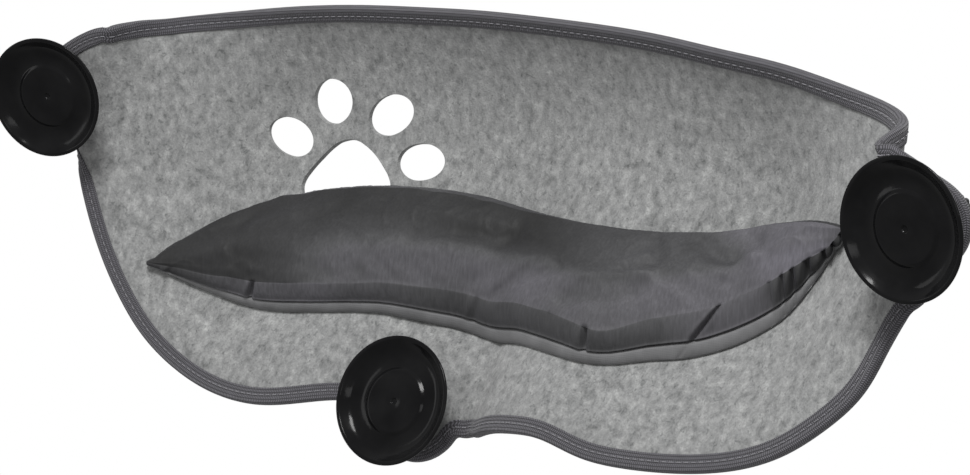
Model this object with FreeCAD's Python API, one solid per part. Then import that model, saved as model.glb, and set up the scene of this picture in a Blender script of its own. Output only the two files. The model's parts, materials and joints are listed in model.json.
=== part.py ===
import FreeCAD, Part
import math, os
os.makedirs("parts", exist_ok=True)
V = FreeCAD.Vector

# Window bed for a cat: a felt sling that hangs from three suction cups on a glass pane,
# with a loose pad in it.  Millimetres.  X runs along the pane, Y into the room, Z up.
# Origin: on the pane, half way between the lip centres of the two upper suction cups.
# ---- driving dimensions (mm) ----
FELT_T = 4.0            # felt thickness
CUP_R = 42.5            # suction lip radius
CUP_W = 36.0            # lip plane to middle of the felt, along the cup axis
# rim line of the felt, left root to right root (middle of the sheet)
RIM = [(-309,37,45.6),(-307.5,50,49.0),(-299.5,66,48.8),(-284.2,79.5,50.5),(-260,88,54.2),(-230,92,58.6),(-186.7,95.5,64.5),(-136.5,99.3,69.4),
       (-87.5,102.8,72.0),(-39,105,73.9),(9.3,105.8,74.2),(57.6,104.6,73.9),(105.7,101.6,72.3),(152.9,98,68.6),
       (199.2,94.6,64.8),(236.6,91,59.3),(266.0,86.5,54.6),(288.2,78.5,50.6),(301.5,65,46.3),(302.5,50,43),(299,37,38)]
# window-side lower edge of the felt, left root to right root
LOW = [(-338.3,32,-54.8),(-327,29,-83.5),(-311.2,25,-111.0),(-286.2,19,-139.8),(-264.7,15,-158.2),(-228.3,11,-177.4),
       (-187.2,8,-187.4),(-149.2,9,-187.6),(-115,16,-181.2),(-84,25,-177),(-31,29,-186),(8,26.5,-187),(34,19,-176.6),(56,13.5,-171.1),(82.2,9.5,-168.9),
       (113.6,7,-174.2),(145.3,6,-174.8),(175.5,6,-172.0),(203.8,7,-167.4),(230.8,9,-160.1),(256.8,12,-148.0),
       (280.5,17,-130.0),(302.6,23.5,-105.3),(316.2,28,-77.4),(327.8,32.5,-54.7)]
def vadd(a,b): return (a[0]+b[0],a[1]+b[1],a[2]+b[2])
def vsub(a,b): return (a[0]-b[0],a[1]-b[1],a[2]-b[2])
def vmul(a,k): return (a[0]*k,a[1]*k,a[2]*k)
def vdot(a,b): return a[0]*b[0]+a[1]*b[1]+a[2]*b[2]
def vcross(a,b): return (a[1]*b[2]-a[2]*b[1],a[2]*b[0]-a[0]*b[2],a[0]*b[1]-a[1]*b[0])
def vlen(a): return math.sqrt(vdot(a,a))
def vunit(a):
    l=vlen(a); return (a[0]/l,a[1]/l,a[2]/l)
def lerp(a,b,t): return a+(b-a)*t
def smooth(t):
    t=max(0.0,min(1.0,t)); return t*t*(3-2*t)
class Spline:
    """Natural cubic spline through points, parameter 0..1 by chord length unless stations are given."""
    def __init__(self,pts,stations=None):
        s=[0.0]
        for a,b in zip(pts,pts[1:]): s.append(s[-1]+vlen(vsub(b,a)))
        self.length=s[-1]; self.t=list(stations) if stations else [x/s[-1] for x in s]; self.p=pts
        n=len(pts); self.m=[]
        for c in range(3):
            y=[q[c] for q in pts]; h=[self.t[i+1]-self.t[i] for i in range(n-1)]
            a=[0.0]*n; b=[1.0]*n; cc=[0.0]*n; d=[0.0]*n
            for i in range(1,n-1):
                a[i]=h[i-1]; b[i]=2*(h[i-1]+h[i]); cc[i]=h[i]
                d[i]=6*((y[i+1]-y[i])/h[i]-(y[i]-y[i-1])/h[i-1])
            for i in range(1,n):
                w=a[i]/b[i-1]; b[i]-=w*cc[i-1]; d[i]-=w*d[i-1]
            m=[0.0]*n; m[-1]=d[-1]/b[-1]
            for i in range(n-2,-1,-1): m[i]=(d[i]-cc[i]*m[i+1])/b[i]
            self.m.append(m)
    def __call__(self,u):
        t=self.t; n=len(t); u=max(0.0,min(1.0,u)); i=0
        while i<n-2 and u>t[i+1]: i+=1
        h=t[i+1]-t[i]; A=(t[i+1]-u)/h; B=(u-t[i])/h; out=[]
        for c in range(3):
            m=self.m[c]; y0=self.p[i][c]; y1=self.p[i+1][c]
            out.append(A*y0+B*y1+((A**3-A)*m[i]+(B**3-B)*m[i+1])*h*h/6)
        return tuple(out)
rim_c=Spline(RIM); low_c=Spline(LOW)
def sheet(u,v):
    """Middle surface of the felt: u left to right, v from the lower edge (0) to the rim (1)."""
    L=low_c(u); R=rim_c(u)
    w=smooth((min(u,1-u)-0.05)/0.19)
    chord=vsub(R,L)
    up=vunit((0,0.40,0.92))
    C1=vadd(L,vadd(vmul(chord,(1-w)/3),vmul(up,w*72)))
    dn=vunit((0.0,0.46,-0.89))
    C2=vadd(R,vadd(vmul(chord,-(1-w)/3),vmul(dn,w*138)))
    a=(1-v)**3; b=3*v*(1-v)**2; c=3*v*v*(1-v); d=v**3
    return tuple(a*L[i]+b*C1[i]+c*C2[i]+d*R[i] for i in range(3))
def normal(u,v,e=1e-3):
    """Unit normal, towards the window and up (the inside of the bed)."""
    u0,u1=max(0,u-e),min(1,u+e); v0,v1=max(0,v-e),min(1,v+e)
    du=vsub(sheet(u1,v),sheet(u0,v)); dv=vsub(sheet(u,v1),sheet(u,v0))
    n=vunit(vcross(du,dv))
    return n
def off(u,v,h):
    return vadd(sheet(u,v),vmul(normal(u,v),h))

# ---- more driving dimensions (mm) ----
TAPE_W, TAPE_T = 10.0, 1.0        # binding tape: visible width, thickness
GAP = 2.0                         # gap at a flex line between two felt nodes
HOLE_R = 5.6                      # hole in the felt for the eyelet barrel
STUD_R = 3.0                      # M6 stud
NUT_R, NUT_T = 12.5, 15.0         # fluted nut
NUT_W = 40.0                      # depth of the nut's front face
PITCH = 1.5                       # travel of the nut per turn

def vec(p): return V(p[0], p[1], p[2])

def grid_face(rows):
    s = Part.BSplineSurface(); s.interpolate([[vec(p) for p in r] for r in rows]); return s.toShape()

def along(edge, start):
    """The same edge as a curve of its own that runs away from start."""
    c=edge.Curve.copy(); f,l=edge.ParameterRange
    if c.TypeId!="Part::GeomBSplineCurve": c=c.toBSpline(f,l)
    if c.value(c.FirstParameter).distanceToPoint(start)>c.value(c.LastParameter).distanceToPoint(start): c.reverse()
    return c.toShape()

def grid_solid(fn, na, nb, nc=2):
    """Closed solid of the map fn(a, b, c) over the unit cube."""
    A=[i/(na-1) for i in range(na)]; B=[i/(nb-1) for i in range(nb)]
    lo=grid_face([[fn(a,b,0) for b in B] for a in A]); hi=grid_face([[fn(a,b,1) for b in B] for a in A])
    faces=[lo,hi]
    def match(face,p,q):
        best=None
        for e in face.Edges:
            a=e.Vertexes[0].Point; b=e.Vertexes[-1].Point
            d=min(a.distanceToPoint(p)+b.distanceToPoint(q), a.distanceToPoint(q)+b.distanceToPoint(p))
            if best is None or d<best[0]: best=(d,e)
        return best[1]
    for (a0,b0),(a1,b1) in (((0,0),(1,0)),((0,1),(1,1)),((0,0),(0,1)),((1,0),(1,1))):
        e0=match(lo,vec(fn(a0,b0,0)),vec(fn(a1,b1,0))); e1=match(hi,vec(fn(a0,b0,1)),vec(fn(a1,b1,1)))
        faces.append(Part.makeRuledSurface(along(e0,vec(fn(a0,b0,0))),along(e1,vec(fn(a0,b0,1))),1))
    sh=Part.makeShell(faces); sh.sewShape()
    so=Part.makeSolid(sh if sh.ShapeType=="Shell" else sh.Shells[0])
    if so.Volume<0: so.reverse()
    return so

report=[]
def out(name, shape):
    if shape.ShapeType!="Solid" and len(shape.Solids)==1: shape=shape.Solids[0]
    report.append((name, len(shape.Solids), shape.isValid(), round(shape.Volume,1)))
    shape.exportStep("parts/%s.step"%name)

# ---- the three mounts: lip centre, direction that the cup faces, local across and up ----
def frame_of(O, n, up):
    n=vunit(n); e1=vunit(vcross(up,n)); e1=vmul(e1,-1.0) if e1[0]<0 else e1
    e2=vcross(e1,vmul(n,-1.0)); e2=vmul(e2,-1.0) if e2[2]<0 else e2
    return dict(O=O,n=n,e1=vunit(e1),e2=vunit(e2))
MOUNTS = {"left": frame_of((-338.5,0,0),(0.252,-0.960,-0.118),(0,0,1)),
          "right": frame_of((338.5,0,0),(-0.130,-0.991,-0.016),(0,0,1)),
          "bottom": frame_of((-30.0,0,-162.3),(0.039,-0.910,0.413),(0,0,1))}
def loc(m,p,q,w):
    f=MOUNTS[m]; return vadd(vadd(vadd(f["O"],vmul(f["e1"],p)),vmul(f["e2"],q)),vmul(f["n"],-w))
def turned(m,profile):
    """Solid of revolution about the cup axis: profile is a closed list of (radius, depth w)."""
    f=MOUNTS[m]; pts=[vec(loc(m,r,0,w)) for r,w in profile]
    wire=Part.makePolygon(pts+[pts[0]])
    return Part.Face(wire).revolve(vec(f["O"]),vec(f["n"]),360)
def rev_edges(m,edges):
    f=MOUNTS[m]; return Part.Face(Part.Wire(edges)).revolve(vec(f["O"]),vec(f["n"]),360)
def plate(m,outline,w0,w1,smooth_curve=True):
    pts=[vec(loc(m,p,q,w0)) for p,q in outline]
    wire=Part.makePolygon(pts+[pts[0]])
    return Part.Face(wire).extrude(vec(vmul(MOUNTS[m]["n"],-(w1-w0))))
def cyl(m,r,w0,w1):
    return Part.makeCylinder(r,w1-w0,vec(loc(m,0,0,w0)),vec(vmul(MOUNTS[m]["n"],-1)))

def cup(m):
    """Soft cup: flat lip at depth 0, dished front with a raised ring and centre dot, boss at the back."""
    g=lambda r,w: vec(loc(m,r,0,w))
    def sp(pts):
        c=Part.BSplineCurve(); c.interpolate([g(*p) for p in pts]); return c.toShape()
    def ln(a,b): return Part.makeLine(g(*a),g(*b))
    e=[ln((0,16.5),(0,4.8)),ln((0,4.8),(2.0,4.8)),ln((2.0,4.8),(2.8,3.6)),sp([(2.8,3.6),(12,3.7),(20.5,4.0)]),
       ln((20.5,4.0),(22.5,5.5)),sp([(22.5,5.5),(29,6.5),(35.5,4.4),(40.0,0.0)]),ln((40.0,0.0),(42.5,0.0)),ln((42.5,0.0),(42.5,1.3)),
       sp([(42.5,1.3),(39.0,5.8),(32,10.2),(23,13.8),(15.0,17.4)]),ln((15.0,17.4),(12.0,33.0)),ln((12.0,33.0),(STUD_R,33.0)),
       ln((STUD_R,33.0),(STUD_R,16.5)),ln((STUD_R,16.5),(0,16.5))]
    return rev_edges(m,e)

def nut(m):
    """Fluted thumb nut, domed, with a through thread bore."""
    body=turned(m,[(STUD_R+0.03,NUT_W),(9.4,NUT_W),(NUT_R,NUT_W+1.2),(NUT_R,NUT_W+NUT_T-2.0),(NUT_R-2.4,NUT_W+NUT_T),(STUD_R+0.03,NUT_W+NUT_T)])
    n=16; cuts=[]
    for i in range(n):
        a=2*math.pi*i/n; p,q=(NUT_R+0.5)*math.cos(a),(NUT_R+0.5)*math.sin(a)
        cuts.append(Part.makeCylinder(1.6,NUT_T+4,vec(loc(m,p,q,NUT_W-2)),vec(vmul(MOUNTS[m]["n"],-1))))
    return body.cut(cuts)

# ---- felt ears: flat outlines round the stud (local across p, up q) ----
def rootline(m,side):
    """Both ends of the sheet's end line, in the mount's local coordinates."""
    f=MOUNTS[m]; res=[]
    for P in (rim_c(0 if side<0 else 1),low_c(0 if side<0 else 1)):
        d=vsub(P,f["O"]); res.append((vdot(d,f["e1"]),vdot(d,f["e2"]),-vdot(d,f["n"])))
    return res
def arc_pts(cx,cy,r,a0,a1,n): return [(cx+r*math.cos(math.radians(a0+(a1-a0)*i/n)),cy+r*math.sin(math.radians(a0+(a1-a0)*i/n))) for i in range(n+1)]
EAR_LEFT = [(-30.5,41.2),(-24.5,40.2),(-16,37.0),(-7.3,32.6),(2.5,26.6),(11,20.4),(16.6,14.2),(19.8,7.2),(20.8,0.5),(20.4,-6.5),(18.2,-14),(13.2,-22),(4.2,-32.5),(-3.8,-42.5),(-8.2,-49.5)]
EAR_RIGHT = [(-33.0,36.4),(-25.8,34.2),(-16,30.0),(-7.3,25.8),(2.5,21.8),(10.6,17.4),(16.2,12.4),(19.5,6.8),(20.8,0.5),(20.2,-6.5),(17.5,-14),(12,-22),(2,-32.5),(-6.5,-42),(-11.5,-49)]
def ear_outline(m,side):
    return [(side*p,q) for p,q in (EAR_LEFT if side<0 else EAR_RIGHT)]
def inset_poly(L,d,keep_last=True):
    """Offset an open chain towards its left or right so that it lies d inside the closed outline."""
    n=len(L); area=sum(L[i][0]*L[(i+1)%n][1]-L[(i+1)%n][0]*L[i][1] for i in range(n))
    sg=1.0 if area>0 else -1.0; outp=[]
    for i in range(n):
        a=L[i-1] if i>0 else None; b=L[i+1] if i<n-1 else None
        def nrm(p,q):
            dx,dy=q[0]-p[0],q[1]-p[1]; l=math.hypot(dx,dy); return (-dy/l*sg,dx/l*sg)
        if a is None: nx,ny=nrm(L[0],L[1]); k=1.0
        elif b is None: nx,ny=nrm(L[-2],L[-1]); k=1.0
        else:
            n1=nrm(a,L[i]); n2=nrm(L[i],b); nx,ny=n1[0]+n2[0],n1[1]+n2[1]; l=math.hypot(nx,ny); nx/=l; ny/=l; k=1.0/max(0.5,nx*n1[0]+ny*n1[1])
        outp.append((L[i][0]+nx*d*k,L[i][1]+ny*d*k))
    return outp
def tape_plate(m,chain):
    """Binding folded over the edge of a flat felt plate: strip on both faces and round the edge."""
    inner=inset_poly(chain,TAPE_W); outer=inset_poly(chain,-TAPE_T)
    ring=outer+inner[::-1]
    solid=plate(m,ring,CUP_W-FELT_T/2-TAPE_T,CUP_W+FELT_T/2+TAPE_T)
    mid=chain+inset_poly(chain,TAPE_W+2)[::-1]
    return solid.cut(plate(m,mid,CUP_W-FELT_T/2,CUP_W+FELT_T/2))

TONGUE = [(-46.0,30.0),(-46.0,2.0),(-41,-0.5),(-36,-4.0)]+arc_pts(0,0,33.0,192,343,14)+[(35.5,-11.0),(40,-9.0),(46.0,-7.5),(46.0,30.0)]
EARS={"left":ear_outline("left",-1),"right":ear_outline("right",1),"bottom":TONGUE}
TAPED={"left":EARS["left"],"right":EARS["right"],"bottom":TONGUE[1:-1]}
for m in ("left","right","bottom"):
    ear=plate(m,EARS[m],CUP_W-FELT_T/2,CUP_W+FELT_T/2).cut(cyl(m,HOLE_R,25,50))
    out("felt_tab_"+m,ear)
    out("tab_binding_"+m,tape_plate(m,TAPED[m]))
    w0,w1=CUP_W-FELT_T/2,CUP_W+FELT_T/2
    # eyelet: front flange and barrel through the felt; ring on the back
    out("eyelet_"+m,turned(m,[(3.4,w0-0.6),(9.5,w0-0.6),(9.5,w0),(5.5,w0),(5.5,w1+0.5),(3.4,w1+0.5)]))
    out("eyelet_ring_"+m,turned(m,[(5.55,w1),(9.5,w1),(9.5,w1+0.6),(5.55,w1+0.6)]))
    out("suction_cup_"+m,cup(m))
    st=turned(m,[(0,16.5),(STUD_R,16.5),(STUD_R,58.0),(STUD_R-0.8,58.8),(0,58.8)])
    out("stud_"+m,st)
    out("washer_"+m,turned(m,[(STUD_R+0.08,w1+0.9),(9.0,w1+0.9),(9.0,w1+1.9),(STUD_R+0.08,w1+1.9)]))
    out("nut_"+m,nut(m))

# ---- felt shell: one sheet, cut clear of the lower tab ----
NU,NV=61,13
END=0.01   # the sheet stops this far (in u) short of each ear
felt=grid_solid(lambda a,b,c: off(lerp(END,1-END,a),b,(c-0.5)*FELT_T),NU,NV)
notch=plate("bottom",[(-48.0,34.0),(-48.0,-60.0),(48.0,-60.0),(48.0,34.0)],5.0,70.0)
felt=felt.cut(notch)
# paw-shaped cut-out: four oval toes and a rounded pad, cut straight through the sheet
TOES=[#  u, v, half length, half width, turn of the long axis
    (0.2086,0.7016,17.6,12.7,166.1),(0.2497,0.8005,16.8,15.4,33.4),(0.3214,0.7749,19.6,13.2,22.6),(0.3664,0.6655,18.9,12.6,1.0)]
PALM=(0.2840,0.6568)
PALM_OUT=[(-1,16.2),(6.8,15),(12.3,12.6),(17.2,9.8),(22.2,6.1),(26.4,2.2),(30.2,-1.7),(34.5,-6.5),(38,-13),(38.5,-21),(34,-27.5),(25,-30),(13,-28.5),(1,-27),(-11,-28.5),(-23,-30),(-32,-27.5),(-36.5,-20),(-36,-14),(-33,-8.5),(-29,-3),(-24.5,2),(-20.4,6.4),(-15.5,10.6),(-10,14)]
def tangent_frame(u,v):
    c=sheet(u,v); n=normal(u,v); e1=vunit(vsub(sheet(u+.01,v),sheet(u-.01,v))); e2=vcross(n,e1)
    if e2[2]<0: e2=vmul(e2,-1.0)
    return c,n,e1,e2
def through(u,v,outline):
    c,n,e1,e2=tangent_frame(u,v)
    pts=[vec(vadd(vadd(vadd(c,vmul(e1,x)),vmul(e2,y)),vmul(n,-20))) for x,y in outline]
    curve=Part.BSplineCurve(); curve.interpolate(pts,PeriodicFlag=True)
    return Part.Face(Part.Wire([curve.toShape()])).extrude(vec(vmul(n,40)))
def oval(a,b,turn):
    ca,sa=math.cos(math.radians(turn)),math.sin(math.radians(turn)); n=12
    return [(a*math.cos(2*math.pi*k/n)*ca-b*math.sin(2*math.pi*k/n)*sa, a*math.cos(2*math.pi*k/n)*sa+b*math.sin(2*math.pi*k/n)*ca) for k in range(n)]
for (u,v,a,b,turn) in TOES: felt=felt.cut(through(u,v,oval(a,b,turn)))
felt=felt.cut(through(PALM[0],PALM[1],PALM_OUT))
for (u,v,a,b,turn) in TOES: print("toe",[round(x,1) for x in sheet(u,v)])
print("palm",[round(x,1) for x in sheet(*PALM)])
out("felt_shell",felt)

# ---- edge bindings of the shell ----
def edge_tape(curve,us,vdir):
    """Tape folded over one long edge: planar U sections joined by ruled faces."""
    wires=[]
    for u in us:
        v0=0.0 if vdir>0 else 1.0
        P=sheet(u,v0); e=2e-3
        T=vunit(vsub(curve(min(1,u+e)),curve(max(0,u-e))))
        S=vunit(vsub(sheet(u,v0+vdir*0.03),P)); S=vunit(vsub(S,vmul(T,vdot(S,T)))); N=vcross(T,S)
        h=FELT_T/2
        uv=[(-TAPE_T,h+TAPE_T),(TAPE_W,h+TAPE_T),(TAPE_W,h+0.02),(-0.02,h+0.02),(-0.02,-h-0.02),(TAPE_W,-h-0.02),(TAPE_W,-h-TAPE_T),(-TAPE_T,-h-TAPE_T)]
        pts=[vec(vadd(P,vadd(vmul(S,a),vmul(N,b)))) for a,b in uv]
        wires.append(Part.makePolygon(pts+[pts[0]]))
    return Part.makeLoft(wires,True,True)
def seq(a,b,n): return [a+(b-a)*i/(n-1) for i in range(n)]
out("rim_binding",edge_tape(rim_c,seq(0.010,0.990,71),-1))
def u_at(p_target):
    """u where the lower edge crosses local p of the lower tab."""
    best=None
    for i in range(2001):
        u=i/2000; d=vsub(low_c(u),MOUNTS["bottom"]["O"]); p=vdot(d,MOUNTS["bottom"]["e1"])
        if abs(d[2])<60 and (best is None or abs(p-p_target)<best[0]): best=(abs(p-p_target),u)
    return best[1]
uL,uR=u_at(-50.0),u_at(50.0)
out("lower_binding_left",edge_tape(low_c,seq(0.012,uL,34),1))
out("lower_binding_right",edge_tape(low_c,seq(uR,0.988,40),1))

# ---- pad: covers, bands and filling, lying on the sheet ----
STATION = [0.0,0.0349,0.0755,0.1118,0.1543,0.2241,0.286,0.3583,0.4171,0.4767,0.5454,0.5914,0.6281,0.7016,0.7847,0.8311,0.8758,0.9082,0.938,0.9688,1.0]
FRONT_LOW = [(0.142,0.165),(0.171,0.204),(0.203,0.231),(0.232,0.246),(0.262,0.253),(0.316,0.266),(0.364,0.26),(0.419,0.253),(0.458,0.268),(0.499,0.275),(0.576,0.236),(0.614,0.219),(0.636,0.224),(0.688,0.274),(0.733,0.302),(0.766,0.336),(0.797,0.379),(0.816,0.411),(0.832,0.456),(0.849,0.511),(0.862,0.556)]
FRONT_TOP = [(0.146,0.178),(0.175,0.232),(0.209,0.265),(0.242,0.289),(0.271,0.303),(0.323,0.320),(0.367,0.316),(0.418,0.322),(0.458,0.344),(0.503,0.355),(0.582,0.315),(0.618,0.296),(0.644,0.292),(0.693,0.351),(0.755,0.408),(0.783,0.446),(0.808,0.475),(0.829,0.505),(0.845,0.539),(0.859,0.562),(0.874,0.574)]
BACK = [(0.150,0.200),(0.16,0.272),(0.175,0.35),(0.188,0.416),(0.21,0.494),(0.264,0.564),(0.311,0.59),(0.366,0.594),(0.416,0.592),(0.468,0.594),(0.531,0.576),(0.578,0.55),(0.612,0.545),(0.661,0.567),(0.735,0.606),(0.766,0.629),(0.8,0.649),(0.831,0.654),(0.851,0.651),(0.869,0.636),(0.886,0.612)]
front_lo,front_hi,back_c=[Spline([(a,b,0) for a,b in L],STATION) for L in (FRONT_LOW,FRONT_TOP,BACK)]
PAD_CLEAR, PAD_T = 1.2, 20.0
def pad(a,b,c):
    f0,f1,k=front_lo(a),front_hi(a),back_c(a)
    f=(lerp(f0[0],f1[0],c),lerp(f0[1],f1[1],c))   # the front wall leans back from its foot to its top edge
    u=lerp(f[0],k[0],b); v=lerp(f[1],k[1],b)
    th=PAD_T*(0.45+0.55*smooth(min(a,1-a)/0.12))
    return off(u,v,FELT_T/2+PAD_CLEAR+c*th)
def sub(a0,a1,b0,b1,c0,c1):
    return lambda a,b,c: pad(lerp(a0,a1,a),lerp(b0,b1,b),lerp(c0,c1,c))
out("pad_top_cover",grid_solid(sub(0,1,0,1,0.955,1),41,7))
out("pad_bottom_cover",grid_solid(sub(0,1,0,1,0,0.045),41,7))
out("pad_front_band",grid_solid(sub(0,1,0,0.018,0.05,0.95),41,3))
out("pad_back_band",grid_solid(sub(0,1,0.982,1,0.05,0.95),41,3))
out("pad_filling",grid_solid(sub(0.004,0.996,0.024,0.976,0.05,0.95),41,7))

for r in report: print(*r)
f=MOUNTS
for m in f:
    print(m, {k:tuple(round(x,4) for x in f[m][k]) for k in f[m]}, "root", [tuple(round(x,1) for x in q) for q in (rootline(m,-1 if m=="left" else 1) if m!="bottom" else [])])
print("lower edge parameters of the tab", round(uL,4), round(uR,4))
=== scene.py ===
import bpy, bmesh, math, json, random
import numpy as np
from mathutils import Vector, Matrix, noise
from mathutils.bvhtree import BVHTree


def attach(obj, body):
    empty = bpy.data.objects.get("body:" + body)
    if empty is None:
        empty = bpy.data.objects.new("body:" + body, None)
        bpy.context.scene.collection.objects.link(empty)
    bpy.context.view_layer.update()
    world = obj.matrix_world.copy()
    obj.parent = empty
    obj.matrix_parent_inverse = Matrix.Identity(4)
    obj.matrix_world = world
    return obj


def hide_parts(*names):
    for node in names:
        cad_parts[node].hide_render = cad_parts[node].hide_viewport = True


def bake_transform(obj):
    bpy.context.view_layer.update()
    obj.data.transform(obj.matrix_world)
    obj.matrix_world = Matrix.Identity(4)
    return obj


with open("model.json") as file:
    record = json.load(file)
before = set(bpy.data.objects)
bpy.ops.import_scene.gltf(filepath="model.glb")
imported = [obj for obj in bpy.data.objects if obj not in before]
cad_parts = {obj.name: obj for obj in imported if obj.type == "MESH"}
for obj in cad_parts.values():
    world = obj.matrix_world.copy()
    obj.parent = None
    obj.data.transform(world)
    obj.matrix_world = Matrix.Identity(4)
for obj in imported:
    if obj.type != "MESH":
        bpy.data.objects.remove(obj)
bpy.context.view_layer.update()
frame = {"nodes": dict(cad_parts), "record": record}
MM = 0.001
random.seed(7)
rng = np.random.default_rng(7)

# ---- driving dimensions (mm) ----
FELT_T = 4.0            # felt thickness
CUP_R = 42.5            # suction lip radius
CUP_W = 36.0            # lip plane to middle of the felt, along the cup axis
# rim line of the felt, left root to right root (middle of the sheet)
RIM = [(-309,37,45.6),(-307.5,50,49.0),(-299.5,66,48.8),(-284.2,79.5,50.5),(-260,88,54.2),(-230,92,58.6),(-186.7,95.5,64.5),(-136.5,99.3,69.4),
       (-87.5,102.8,72.0),(-39,105,73.9),(9.3,105.8,74.2),(57.6,104.6,73.9),(105.7,101.6,72.3),(152.9,98,68.6),
       (199.2,94.6,64.8),(236.6,91,59.3),(266.0,86.5,54.6),(288.2,78.5,50.6),(301.5,65,46.3),(302.5,50,43),(299,37,38)]
# window-side lower edge of the felt, left root to right root
LOW = [(-338.3,32,-54.8),(-327,29,-83.5),(-311.2,25,-111.0),(-286.2,19,-139.8),(-264.7,15,-158.2),(-228.3,11,-177.4),
       (-187.2,8,-187.4),(-149.2,9,-187.6),(-115,16,-181.2),(-84,25,-177),(-31,29,-186),(8,26.5,-187),(34,19,-176.6),(56,13.5,-171.1),(82.2,9.5,-168.9),
       (113.6,7,-174.2),(145.3,6,-174.8),(175.5,6,-172.0),(203.8,7,-167.4),(230.8,9,-160.1),(256.8,12,-148.0),
       (280.5,17,-130.0),(302.6,23.5,-105.3),(316.2,28,-77.4),(327.8,32.5,-54.7)]
def vadd(a,b): return (a[0]+b[0],a[1]+b[1],a[2]+b[2])
def vsub(a,b): return (a[0]-b[0],a[1]-b[1],a[2]-b[2])
def vmul(a,k): return (a[0]*k,a[1]*k,a[2]*k)
def vdot(a,b): return a[0]*b[0]+a[1]*b[1]+a[2]*b[2]
def vcross(a,b): return (a[1]*b[2]-a[2]*b[1],a[2]*b[0]-a[0]*b[2],a[0]*b[1]-a[1]*b[0])
def vlen(a): return math.sqrt(vdot(a,a))
def vunit(a):
    l=vlen(a); return (a[0]/l,a[1]/l,a[2]/l)
def lerp(a,b,t): return a+(b-a)*t
def smooth(t):
    t=max(0.0,min(1.0,t)); return t*t*(3-2*t)
class Spline:
    """Natural cubic spline through points, parameter 0..1 by chord length unless stations are given."""
    def __init__(self,pts,stations=None):
        s=[0.0]
        for a,b in zip(pts,pts[1:]): s.append(s[-1]+vlen(vsub(b,a)))
        self.length=s[-1]; self.t=list(stations) if stations else [x/s[-1] for x in s]; self.p=pts
        n=len(pts); self.m=[]
        for c in range(3):
            y=[q[c] for q in pts]; h=[self.t[i+1]-self.t[i] for i in range(n-1)]
            a=[0.0]*n; b=[1.0]*n; cc=[0.0]*n; d=[0.0]*n
            for i in range(1,n-1):
                a[i]=h[i-1]; b[i]=2*(h[i-1]+h[i]); cc[i]=h[i]
                d[i]=6*((y[i+1]-y[i])/h[i]-(y[i]-y[i-1])/h[i-1])
            for i in range(1,n):
                w=a[i]/b[i-1]; b[i]-=w*cc[i-1]; d[i]-=w*d[i-1]
            m=[0.0]*n; m[-1]=d[-1]/b[-1]
            for i in range(n-2,-1,-1): m[i]=(d[i]-cc[i]*m[i+1])/b[i]
            self.m.append(m)
    def __call__(self,u):
        t=self.t; n=len(t); u=max(0.0,min(1.0,u)); i=0
        while i<n-2 and u>t[i+1]: i+=1
        h=t[i+1]-t[i]; A=(t[i+1]-u)/h; B=(u-t[i])/h; out=[]
        for c in range(3):
            m=self.m[c]; y0=self.p[i][c]; y1=self.p[i+1][c]
            out.append(A*y0+B*y1+((A**3-A)*m[i]+(B**3-B)*m[i+1])*h*h/6)
        return tuple(out)
rim_c=Spline(RIM); low_c=Spline(LOW)
def sheet(u,v):
    """Middle surface of the felt: u left to right, v from the lower edge (0) to the rim (1)."""
    L=low_c(u); R=rim_c(u)
    w=smooth((min(u,1-u)-0.05)/0.19)
    chord=vsub(R,L)
    up=vunit((0,0.40,0.92))
    C1=vadd(L,vadd(vmul(chord,(1-w)/3),vmul(up,w*72)))
    dn=vunit((0.0,0.46,-0.89))
    C2=vadd(R,vadd(vmul(chord,-(1-w)/3),vmul(dn,w*138)))
    a=(1-v)**3; b=3*v*(1-v)**2; c=3*v*v*(1-v); d=v**3
    return tuple(a*L[i]+b*C1[i]+c*C2[i]+d*R[i] for i in range(3))
def normal(u,v,e=1e-3):
    """Unit normal, towards the window and up (the inside of the bed)."""
    u0,u1=max(0,u-e),min(1,u+e); v0,v1=max(0,v-e),min(1,v+e)
    du=vsub(sheet(u1,v),sheet(u0,v)); dv=vsub(sheet(u,v1),sheet(u,v0))
    n=vunit(vcross(du,dv))
    return n
def off(u,v,h):
    return vadd(sheet(u,v),vmul(normal(u,v),h))

# ------------------------------------------------------------------ mounts
def frame_of(O,n,up):
    n=vunit(n); e1=vunit(vcross(up,n)); e1=vmul(e1,-1.0) if e1[0]<0 else e1
    e2=vcross(e1,vmul(n,-1.0)); e2=vmul(e2,-1.0) if e2[2]<0 else e2
    return dict(O=O,n=n,e1=vunit(e1),e2=vunit(e2))
MOUNTS = {"left": frame_of((-338.5,0,0),(0.252,-0.960,-0.118),(0,0,1)),
          "right": frame_of((338.5,0,0),(-0.130,-0.991,-0.016),(0,0,1)),
          "bottom": frame_of((-30.0,0,-162.3),(0.039,-0.910,0.413),(0,0,1))}
def loc(m,p,q,w):
    f=MOUNTS[m]; return vadd(vadd(vadd(f["O"],vmul(f["e1"],p)),vmul(f["e2"],q)),vmul(f["n"],-w))
EAR_LEFT = [(-30.5,41.2),(-24.5,40.2),(-16,37.0),(-7.3,32.6),(2.5,26.6),(11,20.4),(16.6,14.2),(19.8,7.2),(20.8,0.5),(20.4,-6.5),(18.2,-14),(13.2,-22),(4.2,-32.5),(-3.8,-42.5),(-8.2,-49.5)]
EAR_RIGHT = [(-33.0,36.4),(-25.8,34.2),(-16,30.0),(-7.3,25.8),(2.5,21.8),(10.6,17.4),(16.2,12.4),(19.5,6.8),(20.8,0.5),(20.2,-6.5),(17.5,-14),(12,-22),(2,-32.5),(-6.5,-42),(-11.5,-49)]
def arc_pts(cx,cy,r,a0,a1,n): return [(cx+r*math.cos(math.radians(a0+(a1-a0)*i/n)),cy+r*math.sin(math.radians(a0+(a1-a0)*i/n))) for i in range(n+1)]
TONGUE = [(-50,3.0),(-45.0,1.5),(-39,-2.0)]+arc_pts(0,0,33.0,194,342,14)+[(36.5,-11.5),(42,-9.5),(50,-7.5)]

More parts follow.
